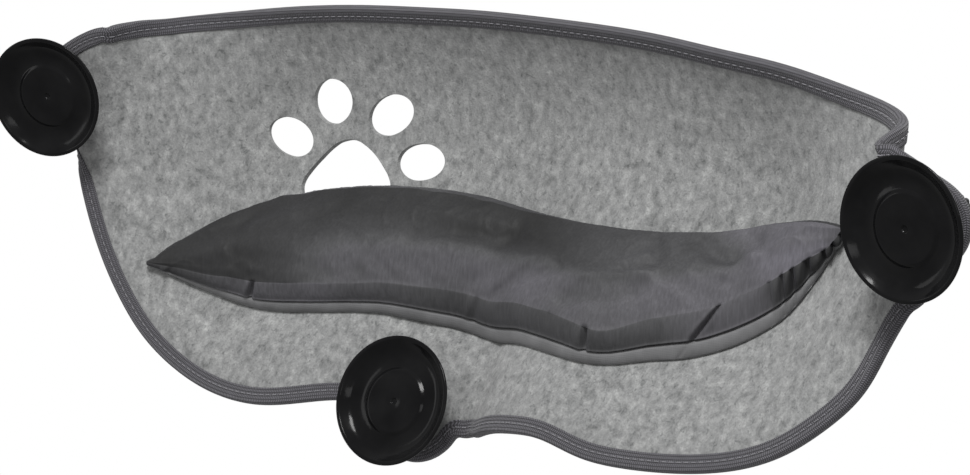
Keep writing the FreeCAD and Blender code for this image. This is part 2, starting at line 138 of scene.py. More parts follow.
# ------------------------------------------------------------------ mesh helpers
def make_obj(name, verts, faces, mats=(), smooth_shade=True):
    me=bpy.data.meshes.new(name); me.from_pydata([tuple(v) for v in verts],[],[tuple(int(i) for i in f) for f in faces]); me.validate(); me.update()
    ob=bpy.data.objects.new(name,me); bpy.context.scene.collection.objects.link(ob)
    for m in mats: me.materials.append(m)
    if smooth_shade: me.polygons.foreach_set("use_smooth",[True]*len(me.polygons))
    return ob
def fix_normals(ob):
    bm=bmesh.new(); bm.from_mesh(ob.data); bmesh.ops.recalc_face_normals(bm,faces=bm.faces); bm.to_mesh(ob.data); bm.free(); ob.data.update()
def sharp_by_angle(ob,deg):
    bm=bmesh.new(); bm.from_mesh(ob.data); lim=math.radians(deg)
    for e in bm.edges:
        e.smooth = not (len(e.link_faces)==2 and e.calc_face_angle(0.0)>lim)
    bm.to_mesh(ob.data); bm.free()
def apply_mods(ob):
    dg=bpy.context.evaluated_depsgraph_get(); me=bpy.data.meshes.new_from_object(ob.evaluated_get(dg)); old=ob.data; ob.modifiers.clear(); ob.data=me
    return ob
def lathe(name,profile,m,seg,mats,phase=0.0,radial=None):
    """Solid of revolution about a mount's axis; profile = (radius, depth), closed on the axis at both ends."""
    f=MOUNTS[m]; V=[];F=[];n=len(profile)
    idx=[]
    for k,(r,w) in enumerate(profile):
        if r<1e-6: V.append(vmul(loc(m,0,0,w),MM)); idx.append([len(V)-1]*seg); continue
        row=[]
        for j in range(seg):
            a=2*math.pi*j/seg+phase; rr=r if radial is None else radial(r,w,a)
            V.append(vmul(loc(m,rr*math.cos(a),rr*math.sin(a),w),MM)); row.append(len(V)-1)
        idx.append(row)
    for k in range(n-1):
        for j in range(seg):
            a,b,c,d=idx[k][j],idx[k][(j+1)%seg],idx[k+1][(j+1)%seg],idx[k+1][j]
            q=[]
            for x in (a,b,c,d):
                if x not in q: q.append(x)
            if len(q)>=3: F.append(q)
    ob=make_obj(name,V,F,mats); fix_normals(ob); return ob
def round_profile(pts,r,seg=5):
    """Rounds the corners of an open profile by radius r where there is room; a point may carry its own radius."""
    out=[pts[0][:2]]
    for i in range(1,len(pts)-1):
        p0=np.array(pts[i-1][:2],float);p1=np.array(pts[i][:2],float);p2=np.array(pts[i+1][:2],float)
        rr=pts[i][2] if len(pts[i])>2 else r
        a=p0-p1;b=p2-p1;la=np.linalg.norm(a);lb=np.linalg.norm(b)
        d=min(rr,la*0.45,lb*0.45)
        if d<1e-4: out.append(tuple(p1)); continue
        s=p1+a/la*d;e=p1+b/lb*d
        for k in range(seg+1):
            t=k/seg; out.append(tuple((1-t)**2*s+2*t*(1-t)*p1+t*t*e))
    out.append(pts[-1][:2]); return [tuple(float(x) for x in q) for q in out]

# ------------------------------------------------------------------ materials
def mat(name):
    m=bpy.data.materials.new(name); m.use_nodes=True; nt=m.node_tree; nt.nodes.clear()
    o=nt.nodes.new("ShaderNodeOutputMaterial"); b=nt.nodes.new("ShaderNodeBsdfPrincipled"); nt.links.new(b.outputs[0],o.inputs[0])
    return m,nt,b
def N(nt,t,**kw):
    n=nt.nodes.new(t)
    for k,v in kw.items():
        if k in n.inputs: n.inputs[k].default_value=v
        else: setattr(n,k,v)
    return n
def ramp(nt,fac,stops,interp="LINEAR"):
    r=nt.nodes.new("ShaderNodeValToRGB"); r.color_ramp.interpolation=interp
    el=r.color_ramp.elements
    while len(el)<len(stops): el.new(0.5)
    for e,(p,c) in zip(el,stops): e.position=p; e.color=(*c,1) if len(c)==3 else c
    nt.links.new(fac,r.inputs[0]); return r
def mixc(nt,mode,fac,a,b):
    m=nt.nodes.new("ShaderNodeMix"); m.data_type="RGBA"; m.blend_type=mode
    for s,v in ((m.inputs[0],fac),(m.inputs[6],a),(m.inputs[7],b)):
        if hasattr(v,"is_linked") or hasattr(v,"node"): nt.links.new(v,s)
        else: s.default_value=v if not isinstance(v,tuple) else (*v,1)
    return m.outputs[2]
def felt_material():
    m,nt,b=mat("felt_heather"); tc=N(nt,"ShaderNodeTexCoord"); P=tc.outputs["Object"]
    # clumps of fibre, single fibres, a few dark ones, and soft blotches
    mp=N(nt,"ShaderNodeMapping"); mp.inputs["Scale"].default_value=(1.0,1.0,0.72); nt.links.new(P,mp.inputs[0])
    n1=N(nt,"ShaderNodeTexNoise",Scale=165.0,Detail=6.0,Roughness=0.66,Distortion=0.15); nt.links.new(mp.outputs[0],n1.inputs[0])
    n2=N(nt,"ShaderNodeTexNoise",Scale=700.0,Detail=3.0,Roughness=0.6,Distortion=0.3); nt.links.new(P,n2.inputs[0])
    n3=N(nt,"ShaderNodeTexNoise",Scale=34.0,Detail=3.0,Roughness=0.55); nt.links.new(P,n3.inputs[0])
    n4=N(nt,"ShaderNodeTexNoise",Scale=300.0,Detail=3.0,Roughness=0.6,Distortion=0.7)
    mp2=N(nt,"ShaderNodeMapping"); mp2.inputs["Rotation"].default_value=(0.3,0.6,0.9); mp2.inputs["Scale"].default_value=(1,0.4,1); nt.links.new(P,mp2.inputs[0]); nt.links.new(mp2.outputs[0],n4.inputs[0])
    base=ramp(nt,n1.outputs[0],[(0.30,(0.098,0.100,0.099)),(0.44,(0.159,0.161,0.160)),(0.56,(0.200,0.202,0.200)),(0.72,(0.276,0.279,0.274))])
    dark=ramp(nt,n4.outputs[0],[(0.30,(0.50,0.51,0.51)),(0.43,(1,1,1)),(0.66,(1,1,1)),(0.76,(1.16,1.16,1.15))])
    c=mixc(nt,"MULTIPLY",0.8,base.outputs[0],dark.outputs[0])
    fine=ramp(nt,n2.outputs[0],[(0.30,(0.78,0.78,0.78)),(0.52,(1.0,1.0,1.0)),(0.75,(1.18,1.18,1.18))])
    c=mixc(nt,"MULTIPLY",0.9,c,fine.outputs[0])
    big=ramp(nt,n3.outputs[0],[(0.3,(0.92,0.92,0.92)),(0.7,(1.07,1.07,1.07))])
    c=mixc(nt,"MULTIPLY",1.0,c,big.outputs[0])
    nt.links.new(c,b.inputs["Base Color"])
    b.inputs["Roughness"].default_value=0.95; b.inputs["Sheen Weight"].default_value=0.18; b.inputs["Sheen Roughness"].default_value=0.6
    b.inputs["Specular IOR Level"].default_value=0.12
    bp=N(nt,"ShaderNodeBump"); bp.inputs["Strength"].default_value=0.5; bp.inputs["Distance"].default_value=0.0007
    h=nt.nodes.new("ShaderNodeMath"); h.operation="ADD"; nt.links.new(n1.outputs[0],h.inputs[0]); nt.links.new(n2.outputs[0],h.inputs[1])
    nt.links.new(h.outputs[0],bp.inputs["Height"]); nt.links.new(bp.outputs[0],b.inputs["Normal"])
    return m
def tape_material():
    m,nt,b=mat("binding_ribbed"); uv=N(nt,"ShaderNodeUVMap"); uv.uv_map="UVMap"
    sp=N(nt,"ShaderNodeSeparateXYZ"); nt.links.new(uv.outputs[0],sp.inputs[0])
    def op(kind,a,b_=None,c=None):
        k=nt.nodes.new("ShaderNodeMath"); k.operation=kind
        for i_,v in enumerate((a,b_,c)):
            if v is None: continue
            if hasattr(v,"node"): nt.links.new(v,k.inputs[i_])
            else: k.inputs[i_].default_value=v
        return k.outputs[0]
    # ribs 1.4 mm apart that lean one way and then the other in rows 2.2 mm wide, as in a woven edging tape
    tri=op("PINGPONG",op("MULTIPLY",sp.outputs[1],455.0),1.0)
    ph=op("ADD",op("MULTIPLY",sp.outputs[0],715.0),op("MULTIPLY",tri,0.62))
    rib=op("MULTIPLY_ADD",op("SINE",op("MULTIPLY",ph,6.28318)),0.5,0.5)
    row=op("SMOOTH_MIN",tri,op("SUBTRACT",1.0,tri),0.2)
    row=op("MULTIPLY",op("MINIMUM",row,0.22),4.5)
    wv=op("MULTIPLY",rib,row)
    nz=N(nt,"ShaderNodeTexNoise",Scale=1.0,Detail=3.0,Roughness=0.6); mp=N(nt,"ShaderNodeMapping"); mp.inputs["Scale"].default_value=(110,1500,1); nt.links.new(uv.outputs[0],mp.inputs[0]); nt.links.new(mp.outputs[0],nz.inputs[0])
    rb=ramp(nt,wv,[(0.0,(0.022,0.021,0.024)),(0.35,(0.046,0.045,0.050)),(0.75,(0.092,0.089,0.100)),(1.0,(0.118,0.114,0.128))])
    st=ramp(nt,nz.outputs[0],[(0.35,(0.78,0.78,0.78)),(0.55,(1,1,1)),(0.72,(1.4,1.4,1.44))])
    c=mixc(nt,"MULTIPLY",0.8,rb.outputs[0],st.outputs[0])
    nt.links.new(c,b.inputs["Base Color"]); b.inputs["Roughness"].default_value=0.7; b.inputs["Sheen Weight"].default_value=0.15; b.inputs["Sheen Roughness"].default_value=0.45
    b.inputs["Specular IOR Level"].default_value=0.3
    bp=N(nt,"ShaderNodeBump"); bp.inputs["Strength"].default_value=0.9; bp.inputs["Distance"].default_value=0.0004; nt.links.new(wv,bp.inputs["Height"]); nt.links.new(bp.outputs[0],b.inputs["Normal"])
    return m
def thread_material():
    m,nt,b=mat("stitch_thread"); tc=N(nt,"ShaderNodeTexCoord"); n=N(nt,"ShaderNodeTexNoise",Scale=2500.0,Detail=2.0); nt.links.new(tc.outputs["Object"],n.inputs[0])
    r=ramp(nt,n.outputs[0],[(0.3,(0.10,0.098,0.108)),(0.7,(0.19,0.186,0.20))]); nt.links.new(r.outputs[0],b.inputs["Base Color"]); b.inputs["Roughness"].default_value=0.55; b.inputs["Sheen Weight"].default_value=0.3
    bp=N(nt,"ShaderNodeBump"); bp.inputs["Distance"].default_value=0.0001; bp.inputs["Strength"].default_value=0.5; nt.links.new(n.outputs[0],bp.inputs["Height"]); nt.links.new(bp.outputs[0],b.inputs["Normal"])
    return m
def pvc_material():
    m,nt,b=mat("cup_black_pvc"); tc=N(nt,"ShaderNodeTexCoord"); n=N(nt,"ShaderNodeTexNoise",Scale=45.0,Detail=3.0,Roughness=0.5); nt.links.new(tc.outputs["Object"],n.inputs[0])
    n2=N(nt,"ShaderNodeTexNoise",Scale=700.0,Detail=2.0); nt.links.new(tc.outputs["Object"],n2.inputs[0])
    r=ramp(nt,n.outputs[0],[(0.3,(0.0035,0.0035,0.0038)),(0.7,(0.0065,0.0065,0.0068))]); nt.links.new(r.outputs[0],b.inputs["Base Color"])
    rr=ramp(nt,n.outputs[0],[(0.3,(0.10,0.10,0.10)),(0.7,(0.19,0.19,0.19))]); nt.links.new(rr.outputs[0],b.inputs["Roughness"])
    b.inputs["IOR"].default_value=1.5; b.inputs["Specular IOR Level"].default_value=0.075
    a=nt.nodes.new("ShaderNodeMath"); a.operation="MULTIPLY_ADD"; a.inputs[1].default_value=0.03; nt.links.new(n2.outputs[0],a.inputs[0]); nt.links.new(n.outputs[0],a.inputs[2])
    bp=N(nt,"ShaderNodeBump"); bp.inputs["Strength"].default_value=0.35; bp.inputs["Distance"].default_value=0.0009; nt.links.new(a.outputs[0],bp.inputs["Height"]); nt.links.new(bp.outputs[0],b.inputs["Normal"])
    return m
def plastic_material():
    m,nt,b=mat("nut_black_plastic"); tc=N(nt,"ShaderNodeTexCoord"); n=N(nt,"ShaderNodeTexNoise",Scale=900.0,Detail=3.0); nt.links.new(tc.outputs["Object"],n.inputs[0])
    r=ramp(nt,n.outputs[0],[(0.3,(0.009,0.009,0.010)),(0.7,(0.014,0.014,0.015))]); nt.links.new(r.outputs[0],b.inputs["Base Color"]); b.inputs["Roughness"].default_value=0.34; b.inputs["Specular IOR Level"].default_value=0.3
    bp=N(nt,"ShaderNodeBump"); bp.inputs["Strength"].default_value=0.25; bp.inputs["Distance"].default_value=0.0001; nt.links.new(n.outputs[0],bp.inputs["Height"]); nt.links.new(bp.outputs[0],b.inputs["Normal"])
    return m
def metal_material(name,col,rough):
    m,nt,b=mat(name); tc=N(nt,"ShaderNodeTexCoord"); n=N(nt,"ShaderNodeTexNoise",Scale=350.0,Detail=4.0); nt.links.new(tc.outputs["Object"],n.inputs[0])
    r=ramp(nt,n.outputs[0],[(0.3,tuple(x*0.85 for x in col)),(0.7,col)]); nt.links.new(r.outputs[0],b.inputs["Base Color"]); b.inputs["Metallic"].default_value=1.0; b.inputs["Roughness"].default_value=rough
    bp=N(nt,"ShaderNodeBump"); bp.inputs["Strength"].default_value=0.2; bp.inputs["Distance"].default_value=0.0001; nt.links.new(n.outputs[0],bp.inputs["Height"]); nt.links.new(bp.outputs[0],b.inputs["Normal"])
    return m
def cloth_material(name,lo,hi,scale=1.0,sheen=0.35):
    m,nt,b=mat(name); tc=N(nt,"ShaderNodeTexCoord"); P=tc.outputs["Object"]
    n1=N(nt,"ShaderNodeTexNoise",Scale=60.0,Detail=4.0,Roughness=0.55); nt.links.new(P,n1.inputs[0])
    w1=N(nt,"ShaderNodeTexWave",Scale=1.0,Distortion=0.4); w1.wave_type="BANDS"; w1.bands_direction="X"
    w2=N(nt,"ShaderNodeTexWave",Scale=1.0,Distortion=0.4); w2.wave_type="BANDS"; w2.bands_direction="Z"
    mp=N(nt,"ShaderNodeMapping"); mp.inputs["Scale"].default_value=(260*scale,260*scale,260*scale); nt.links.new(P,mp.inputs[0])
    for w in (w1,w2): nt.links.new(mp.outputs[0],w.inputs[0])
    mx=nt.nodes.new("ShaderNodeMath"); mx.operation="MAXIMUM"; nt.links.new(w1.outputs[1],mx.inputs[0]); nt.links.new(w2.outputs[1],mx.inputs[1])
    r=ramp(nt,n1.outputs[0],[(0.3,lo),(0.7,hi)])
    wv=ramp(nt,mx.outputs[0],[(0.0,(0.86,0.86,0.86)),(1.0,(1.06,1.06,1.06))])
    c=mixc(nt,"MULTIPLY",0.8,r.outputs[0],wv.outputs[0]); nt.links.new(c,b.inputs["Base Color"])
    b.inputs["Roughness"].default_value=0.62; b.inputs["Sheen Weight"].default_value=sheen; b.inputs["Sheen Roughness"].default_value=0.4; b.inputs["Specular IOR Level"].default_value=0.35
    n2=N(nt,"ShaderNodeTexNoise",Scale=1500.0,Detail=2.0); nt.links.new(P,n2.inputs[0])
    a=nt.nodes.new("ShaderNodeMath"); a.operation="MULTIPLY_ADD"; a.inputs[1].default_value=0.6; nt.links.new(n2.outputs[0],a.inputs[0]); nt.links.new(mx.outputs[0],a.inputs[2])
    bp=N(nt,"ShaderNodeBump"); bp.inputs["Strength"].default_value=0.35; bp.inputs["Distance"].default_value=0.00015; nt.links.new(a.outputs[0],bp.inputs["Height"]); nt.links.new(bp.outputs[0],b.inputs["Normal"])
    return m
def pad_material():
    m,nt,b=mat("pad_dark_cloth"); tc=N(nt,"ShaderNodeTexCoord"); P=tc.outputs["Object"]; uv=N(nt,"ShaderNodeUVMap"); uv.uv_map="painted_light"
    sp=N(nt,"ShaderNodeSeparateXYZ"); nt.links.new(uv.outputs[0],sp.inputs[0])
    def op(kind,a,b_=None,c=None):
        k=nt.nodes.new("ShaderNodeMath"); k.operation=kind
        for i_,v in enumerate((a,b_,c)):
            if v is None: continue
            if hasattr(v,"node"): nt.links.new(v,k.inputs[i_])
            else: k.inputs[i_].default_value=v
        return k.outputs[0]
    soft=N(nt,"ShaderNodeTexNoise",Scale=14.0,Detail=3.0,Roughness=0.5); nt.links.new(P,soft.inputs[0])
    mott=N(nt,"ShaderNodeTexNoise",Scale=75.0,Detail=4.0,Roughness=0.6); nt.links.new(P,mott.inputs[0])
    # painted light and shade: the per-vertex value in the UV map picks near-black cloth where the cover is painted as
    # in shade, and a lighter lavender tone as a painted sheen where it is painted as lit
    painted_light=op("ADD",sp.outputs[0],op("MULTIPLY_ADD",soft.outputs[0],0.40,-0.20))
    base=ramp(nt,painted_light,[(0.0,(0.012,0.012,0.012)),(0.30,(0.025,0.025,0.026)),(0.50,(0.046,0.046,0.048)),(0.68,(0.067,0.065,0.072)),(1.0,(0.102,0.098,0.113))])
    mt=ramp(nt,mott.outputs[0],[(0.3,(0.88,0.88,0.88)),(0.7,(1.12,1.12,1.12))])
    # crinkle of the light cloth: short lines down the band, finer ones on top
    mp=N(nt,"ShaderNodeMapping"); mp.inputs["Scale"].default_value=(620,620,70); nt.links.new(P,mp.inputs[0])
    cr=N(nt,"ShaderNodeTexNoise",Scale=1.0,Detail=3.0,Roughness=0.6); nt.links.new(mp.outputs[0],cr.inputs[0])
    cc=ramp(nt,cr.outputs[0],[(0.32,(0.80,0.80,0.80)),(0.55,(1,1,1)),(0.72,(1.16,1.16,1.17))])
    c=mixc(nt,"MULTIPLY",1.0,mixc(nt,"MULTIPLY",0.7,base.outputs[0],mt.outputs[0]),cc.outputs[0])
    nt.links.new(c,b.inputs["Base Color"])
    b.inputs["Roughness"].default_value=0.66; b.inputs["Sheen Weight"].default_value=0.05; b.inputs["Sheen Roughness"].default_value=0.4; b.inputs["Sheen Tint"].default_value=(0.86,0.84,1.0,1.0); b.inputs["Specular IOR Level"].default_value=0.28
    n2=N(nt,"ShaderNodeTexNoise",Scale=1500.0,Detail=2.0); nt.links.new(P,n2.inputs[0])
    a=op("MULTIPLY_ADD",n2.outputs[0],0.35,cr.outputs[0])
    bp=N(nt,"ShaderNodeBump"); bp.inputs["Strength"].default_value=0.5; bp.inputs["Distance"].default_value=0.0004; nt.links.new(a,bp.inputs["Height"]); nt.links.new(bp.outputs[0],b.inputs["Normal"])
    return m
M_FELT=felt_material(); M_TAPE=tape_material(); M_THREAD=thread_material(); M_PVC=pvc_material(); M_NUT=plastic_material()
M_STEEL=metal_material("zinc_steel",(0.62,0.62,0.63),0.32); M_EYE=metal_material("black_lacquer_eyelet",(0.05,0.05,0.052),0.35)
M_PAD=pad_material(); M_UNDER=cloth_material("pad_under_cloth",(0.092,0.092,0.094),(0.125,0.125,0.128),0.8,0.15)
M_SEAM=cloth_material("pad_seam_thread",(0.012,0.012,0.013),(0.03,0.03,0.032),2.0,0.1)
NODE_MAT={"felt":M_FELT,"binding_tape":M_TAPE,"eyelet_metal":M_EYE,"cup_pvc":M_PVC,"steel":M_STEEL,"nut_plastic":M_NUT,"pad_fill":M_UNDER,"pad_under":M_UNDER,"pad_cover":M_PAD}
SLOT={s["node"]:s["material_slot"] for s in frame["record"]["subparts"]}
for n,o in frame["nodes"].items():
    mm=NODE_MAT[SLOT[n]]
    if not o.material_slots: o.data.materials.append(mm)
    for s in o.material_slots: s.material=mm

# ------------------------------------------------------------------ felt: one sheet with its two ears and its tongue
NU_MAIN = 330
NVR = 120
K = 20
def plane_pq(m,P):
    d=vsub(P,MOUNTS[m]["O"]); return vdot(d,MOUNTS[m]["e1"]),vdot(d,MOUNTS[m]["e2"])
# the tongue replaces the lower line between these parameters
us=np.linspace(0,1,2001)
pq=[plane_pq("bottom",low_c(u)) for u in us]
uA=next(u for u,(p,q) in zip(us,pq) if p>-50 and abs(q)<60)
uB=next(u for u,(p,q) in zip(us,pq) if p>50 and abs(q)<60)
tongue_w=[loc("bottom",p,q,36.0) for p,q in TONGUE]
PA,PB=low_c(uA),low_c(uB)
tongue_w[0]=PA; tongue_w[-1]=PB
tongue_c=Spline([PA]+tongue_w[1:-1]+[PB])
def low_vis(u):
    if u<=uA or u>=uB: return low_c(u)
    return tongue_c((u-uA)/(uB-uA))
def column(u,vs):
    L=low_c(u); R=rim_c(u); LV=low_vis(u)
    w=smooth((min(u,1-u)-0.05)/0.19)
    chord=vsub(R,L); up=vunit((0,0.40,0.92)); dn=vunit((0.0,0.46,-0.89))
    C1=vadd(L,vadd(vmul(chord,(1-w)/3),vmul(up,w*72))); C2=vadd(R,vadd(vmul(chord,-(1-w)/3),vmul(dn,w*138)))
    v=vs[:,None]
    return (1-v)**3*np.array(LV)+3*v*(1-v)**2*np.array(C1)+3*v*v*(1-v)*np.array(C2)+v**3*np.array(R)
# more columns where the tongue's outline is long
dens=[]
uu=np.linspace(0,1,1201); prev=np.array(low_vis(0.0)); acc=[0.0]; prevr=np.array(rim_c(0.0))
for u in uu[1:]:
    c=np.array(low_vis(u)); r=np.array(rim_c(u)); acc.append(acc[-1]+max(np.linalg.norm(c-prev),np.linalg.norm(r-prevr))); prev=c; prevr=r
acc=np.array(acc)/acc[-1]
ucols=np.interp(np.linspace(0,1,NU_MAIN),acc,uu)
vs=np.linspace(0,1,NVR)
main=np.array([column(u,vs) for u in ucols])
def resample(pts,n):
    P=np.array(pts,float); s=np.r_[0,np.cumsum(np.linalg.norm(np.diff(P,axis=0),axis=1))]; t=np.linspace(0,s[-1],n)
    return np.stack([np.interp(t,s,P[:,k]) for k in range(3)],axis=1)
def ear_cols(m,side,root):
    pts=[loc(m,side*p,q,36.0) for p,q in (EAR_LEFT if side<0 else EAR_RIGHT)]
    sp=Spline(pts[::-1]); E=np.array([sp(t) for t in np.linspace(0,1,NVR)])      # bottom to top
    ts=np.linspace(0,1,K+1)[1:]
    return np.array([root*(1-t)+E*t for t in ts])
earL=ear_cols("left",-1,main[0])[::-1]; earR=ear_cols("right",1,main[-1])
G=np.concatenate([earL,main,earR],axis=0)
NI,NJ=G.shape[:2]
# flatten round the studs
for m,r0,r1 in (("left",14,34),("right",14,34),("bottom",16,62)):
    f=MOUNTS[m]; O=np.array(f["O"]); n=np.array(f["n"]); e1=np.array(f["e1"]); e2=np.array(f["e2"])
    d=G-O; p=d@e1; q=d@e2; w=-(d@n); r=np.hypot(p,q if m!="bottom" else np.where(q>0,q*0.9,q))
    t=np.clip((r-r0)/(r1-r0),0,1); k=1-t*t*(3-2*t)
    G=G+((w-36.0)*k)[...,None]*n
# soften the fold at the ear roots
sp_=np.r_[0,np.cumsum(np.linalg.norm(np.diff(G,axis=0),axis=2).mean(1))]
msk=np.zeros(NI)
for i0,r_ in ((K,24.0),(NI-1-K,15.0)): msk=np.maximum(msk,np.exp(-((sp_-sp_[i0])/r_)**2))
sig=np.where(np.arange(NI)<NI//2,10.5,6.5)
W_=np.exp(-0.5*((sp_[:,None]-sp_[None,:])/sig[:,None])**2)*np.gradient(sp_)[None,:]
# keep the ends in place by mirroring the weight that falls off them
W_/=W_.sum(1,keepdims=True); Gs=np.einsum('ik,kjc->ijc',W_,G)
endk=np.clip(np.minimum(sp_,sp_[-1]-sp_)/16.0,0,1)
G=G+(Gs-G)*(msk*endk)[:,None,None]
# the rim runs on into the ear in one easy curve
se_=np.r_[0,np.cumsum(np.linalg.norm(np.diff(G[:,-1],axis=0),axis=1))]
W_=np.exp(-0.5*((se_[:,None]-se_[None,:])/13.0)**2)*np.gradient(se_)[None,:]; W_/=W_.sum(1,keepdims=True)
rw_=np.clip((np.linspace(0,1,NJ)-0.55)/0.45,0,1); rw_=rw_*rw_*(3-2*rw_)
mk_=np.exp(-((se_-se_[K])/24.0)**2)*np.clip(np.minimum(se_,se_[-1]-se_)/18.0,0,1)
G=G+(np.einsum('ik,kjc->ijc',W_,G)-G)*(mk_[:,None]*rw_[None,:])[...,None]
def grid_normals(G):
    du=np.gradient(G,axis=0); dv=np.gradient(G,axis=1); n=np.cross(du,dv); n/=np.linalg.norm(n,axis=2,keepdims=True)
    return n
GN=grid_normals(G)
ref=np.array(normal(0.5,0.5))
if GN[NI//2,NJ//2]@ref<0: GN=-GN
def grid_faces(ni,nj,off=0,flip=False):
    i,j=np.meshgrid(np.arange(ni-1),np.arange(nj-1),indexing="ij"); a=(i*nj+j+off).ravel(); f=np.stack([a,a+nj,a+nj+1,a+1],axis=1)
    return f[:,::-1] if flip else f
def thick_sheet(name,G,GN,t,mats):
    ni,nj=G.shape[:2]; top=(G+GN*t/2).reshape(-1,3); bot=(G-GN*t/2).reshape(-1,3); n=len(top)
    F=[grid_faces(ni,nj),grid_faces(ni,nj,n,True)]
    loop=[(i,0) for i in range(ni)]+[(ni-1,j) for j in range(1,nj)]+[(i,nj-1) for i in range(ni-2,-1,-1)]+[(0,j) for j in range(nj-2,0,-1)]
    ids=[i*nj+j for i,j in loop]; k=len(ids)
    F.append(np.array([[ids[a],ids[(a+1)%k],ids[(a+1)%k]+n,ids[a]+n] for a in range(k)]))
    ob=make_obj(name,np.concatenate([top,bot])*MM,np.concatenate(F),mats); fix_normals(ob); return ob
felt=thick_sheet("felt_sheet",G,GN,FELT_T,[M_FELT])

# cut-outs: four toes, a palm, and three stud holes
TOES=[(0.2086,0.7016,17.6,12.7,166.1),(0.2497,0.8005,16.8,15.4,33.4),(0.3214,0.7749,19.6,13.2,22.6),(0.3664,0.6655,18.9,12.6,1.0)]
PALM=(0.2840,0.6568)
PALM_OUT=[(-1,16.2),(6.8,15),(12.3,12.6),(17.2,9.8),(22.2,6.1),(26.4,2.2),(30.2,-1.7),(34.5,-6.5),(38,-13),(38.5,-21),(34,-27.5),(25,-30),(13,-28.5),(1,-27),(-11,-28.5),(-23,-30),(-32,-27.5),(-36.5,-20),(-36,-14),(-33,-8.5),(-29,-3),(-24.5,2),(-20.4,6.4),(-15.5,10.6),(-10,14)]
def closed_smooth(pts,per=6):
    P=np.array(pts,float); n=len(P); out=[]
    for i in range(n):
        p0,p1,p2,p3=P[i-1],P[i],P[(i+1)%n],P[(i+2)%n]
        for k in range(per):
            t=k/per; out.append(0.5*((2*p1)+(-p0+p2)*t+(2*p0-5*p1+4*p2-p3)*t*t+(-p0+3*p1-3*p2+p3)*t**3))
    return np.array(out)
def prism(name,c,n,e1,e2,outline,depth=20):
    c=np.array(c);n=np.array(n);e1=np.array(e1);e2=np.array(e2); k=len(outline)
    lo=np.array([c+e1*x+e2*y-n*depth for x,y in outline]); hi=np.array([c+e1*x+e2*y+n*depth for x,y in outline])
    F=[[a,(a+1)%k,(a+1)%k+k,a+k] for a in range(k)]+[list(range(k))[::-1],[a+k for a in range(k)]]
    ob=make_obj(name,np.concatenate([lo,hi])*MM,F,[M_FELT],False); fix_normals(ob); return ob
cutters=[]
def tframe(u,v):
    c=sheet(u,v); n=normal(u,v); e1=vunit(vsub(sheet(u+.01,v),sheet(u-.01,v))); e2=vcross(n,e1)
    if e2[2]<0: e2=vmul(e2,-1.0)
    return c,n,e1,e2
for k,(u,v,a,b,turn) in enumerate(TOES):
    ca,sa=math.cos(math.radians(turn)),math.sin(math.radians(turn)); ol=[(a*math.cos(t)*ca-b*math.sin(t)*sa,a*math.cos(t)*sa+b*math.sin(t)*ca) for t in np.linspace(0,2*math.pi,72,endpoint=False)]
    cutters.append(prism("cut_toe%d"%k,*tframe(u,v),ol))
cutters.append(prism("cut_palm",*tframe(*PALM),closed_smooth(PALM_OUT)))
for m in MOUNTS:
    f=MOUNTS[m]; ol=[(5.6*math.cos(t),5.6*math.sin(t)) for t in np.linspace(0,2*math.pi,48,endpoint=False)]
    cutters.append(prism("cut_stud_"+m,loc(m,0,0,36),f["n"],f["e1"],f["e2"],ol,8))
for c in cutters:
    md=felt.modifiers.new("cut","BOOLEAN"); md.operation="DIFFERENCE"; md.solver="EXACT"; md.object=c
apply_mods(felt)
for c in cutters: bpy.data.objects.remove(c,do_unlink=True)
felt.data.polygons.foreach_set("use_smooth",[True]*len(felt.data.polygons))
sharp_by_angle(felt,38)
print("felt faces",len(felt.data.polygons))

# ------------------------------------------------------------------ where the felt bends at each tab
def tab_dir(m):
    """Unit direction across the ear root, towards the stud, tipped 30 degrees towards the mount's normal."""
    side=-1 if m=="left" else 1
    top,bot=(G[K,-1],G[K,0]) if side<0 else (G[NI-1-K,-1],G[NI-1-K,0])
    mid=(top+bot)/2; r=top-bot; r/=np.linalg.norm(r); n=np.array(MOUNTS[m]["n"])
    d=np.cross(r,n); O=np.array(MOUNTS[m]["O"])
    if d@(O-mid)<0: d=-d
    d=d/np.linalg.norm(d); d=d*math.cos(math.radians(30))+n*math.sin(math.radians(30)); return mid,d/np.linalg.norm(d)
BL={}
for m in ("left","right"):
    mid,d=tab_dir(m); BL[m]=(tuple((mid-d*14)*MM),tuple((mid+d*11)*MM))
Q1,Q0,P1,P0_=34.0,50.0,42.0,78.0
BV=(vmul(loc("bottom",0,Q0,36),MM),vmul(loc("bottom",0,Q1,36),MM))
BHL=(vmul(loc("bottom",-P0_,0,36),MM),vmul(loc("bottom",-P1,0,36),MM)); BHR=(vmul(loc("bottom",P0_,0,36),MM),vmul(loc("bottom",P1,0,36),MM))
XL,XR=-0.152,0.092
fb=MOUNTS["bottom"]
def mitre_plane(sgn):
    a=np.array(loc("bottom",sgn*P0_,Q0,36)); b=np.array(loc("bottom",sgn*P1,Q1,36)); d=b-a; n=np.cross(d,np.array(fb["n"])); n/=np.linalg.norm(n)
    return a*MM,n
def region_of(c):
    """Which part of the sling a point belongs to."""
    if c[0]<XL: return "left"
    if c[0]>XR: return "right"
    P=vmul(c,1000.0); p,q=plane_pq("bottom",P); dv=(Q0-q)/(Q0-Q1); dh=(P0_-abs(p))/(P0_-P1)
    if dv<=dh: return "mid"
    return "low_left" if p<0 else "low_right"
BLEND={"left":("sling","tab_left",*BL["left"]),"right":("sling","tab_right",*BL["right"]),"mid":("sling","tab_bottom",*BV),"low_left":("sling","tab_bottom",*BHL),"low_right":("sling","tab_bottom",*BHR)}
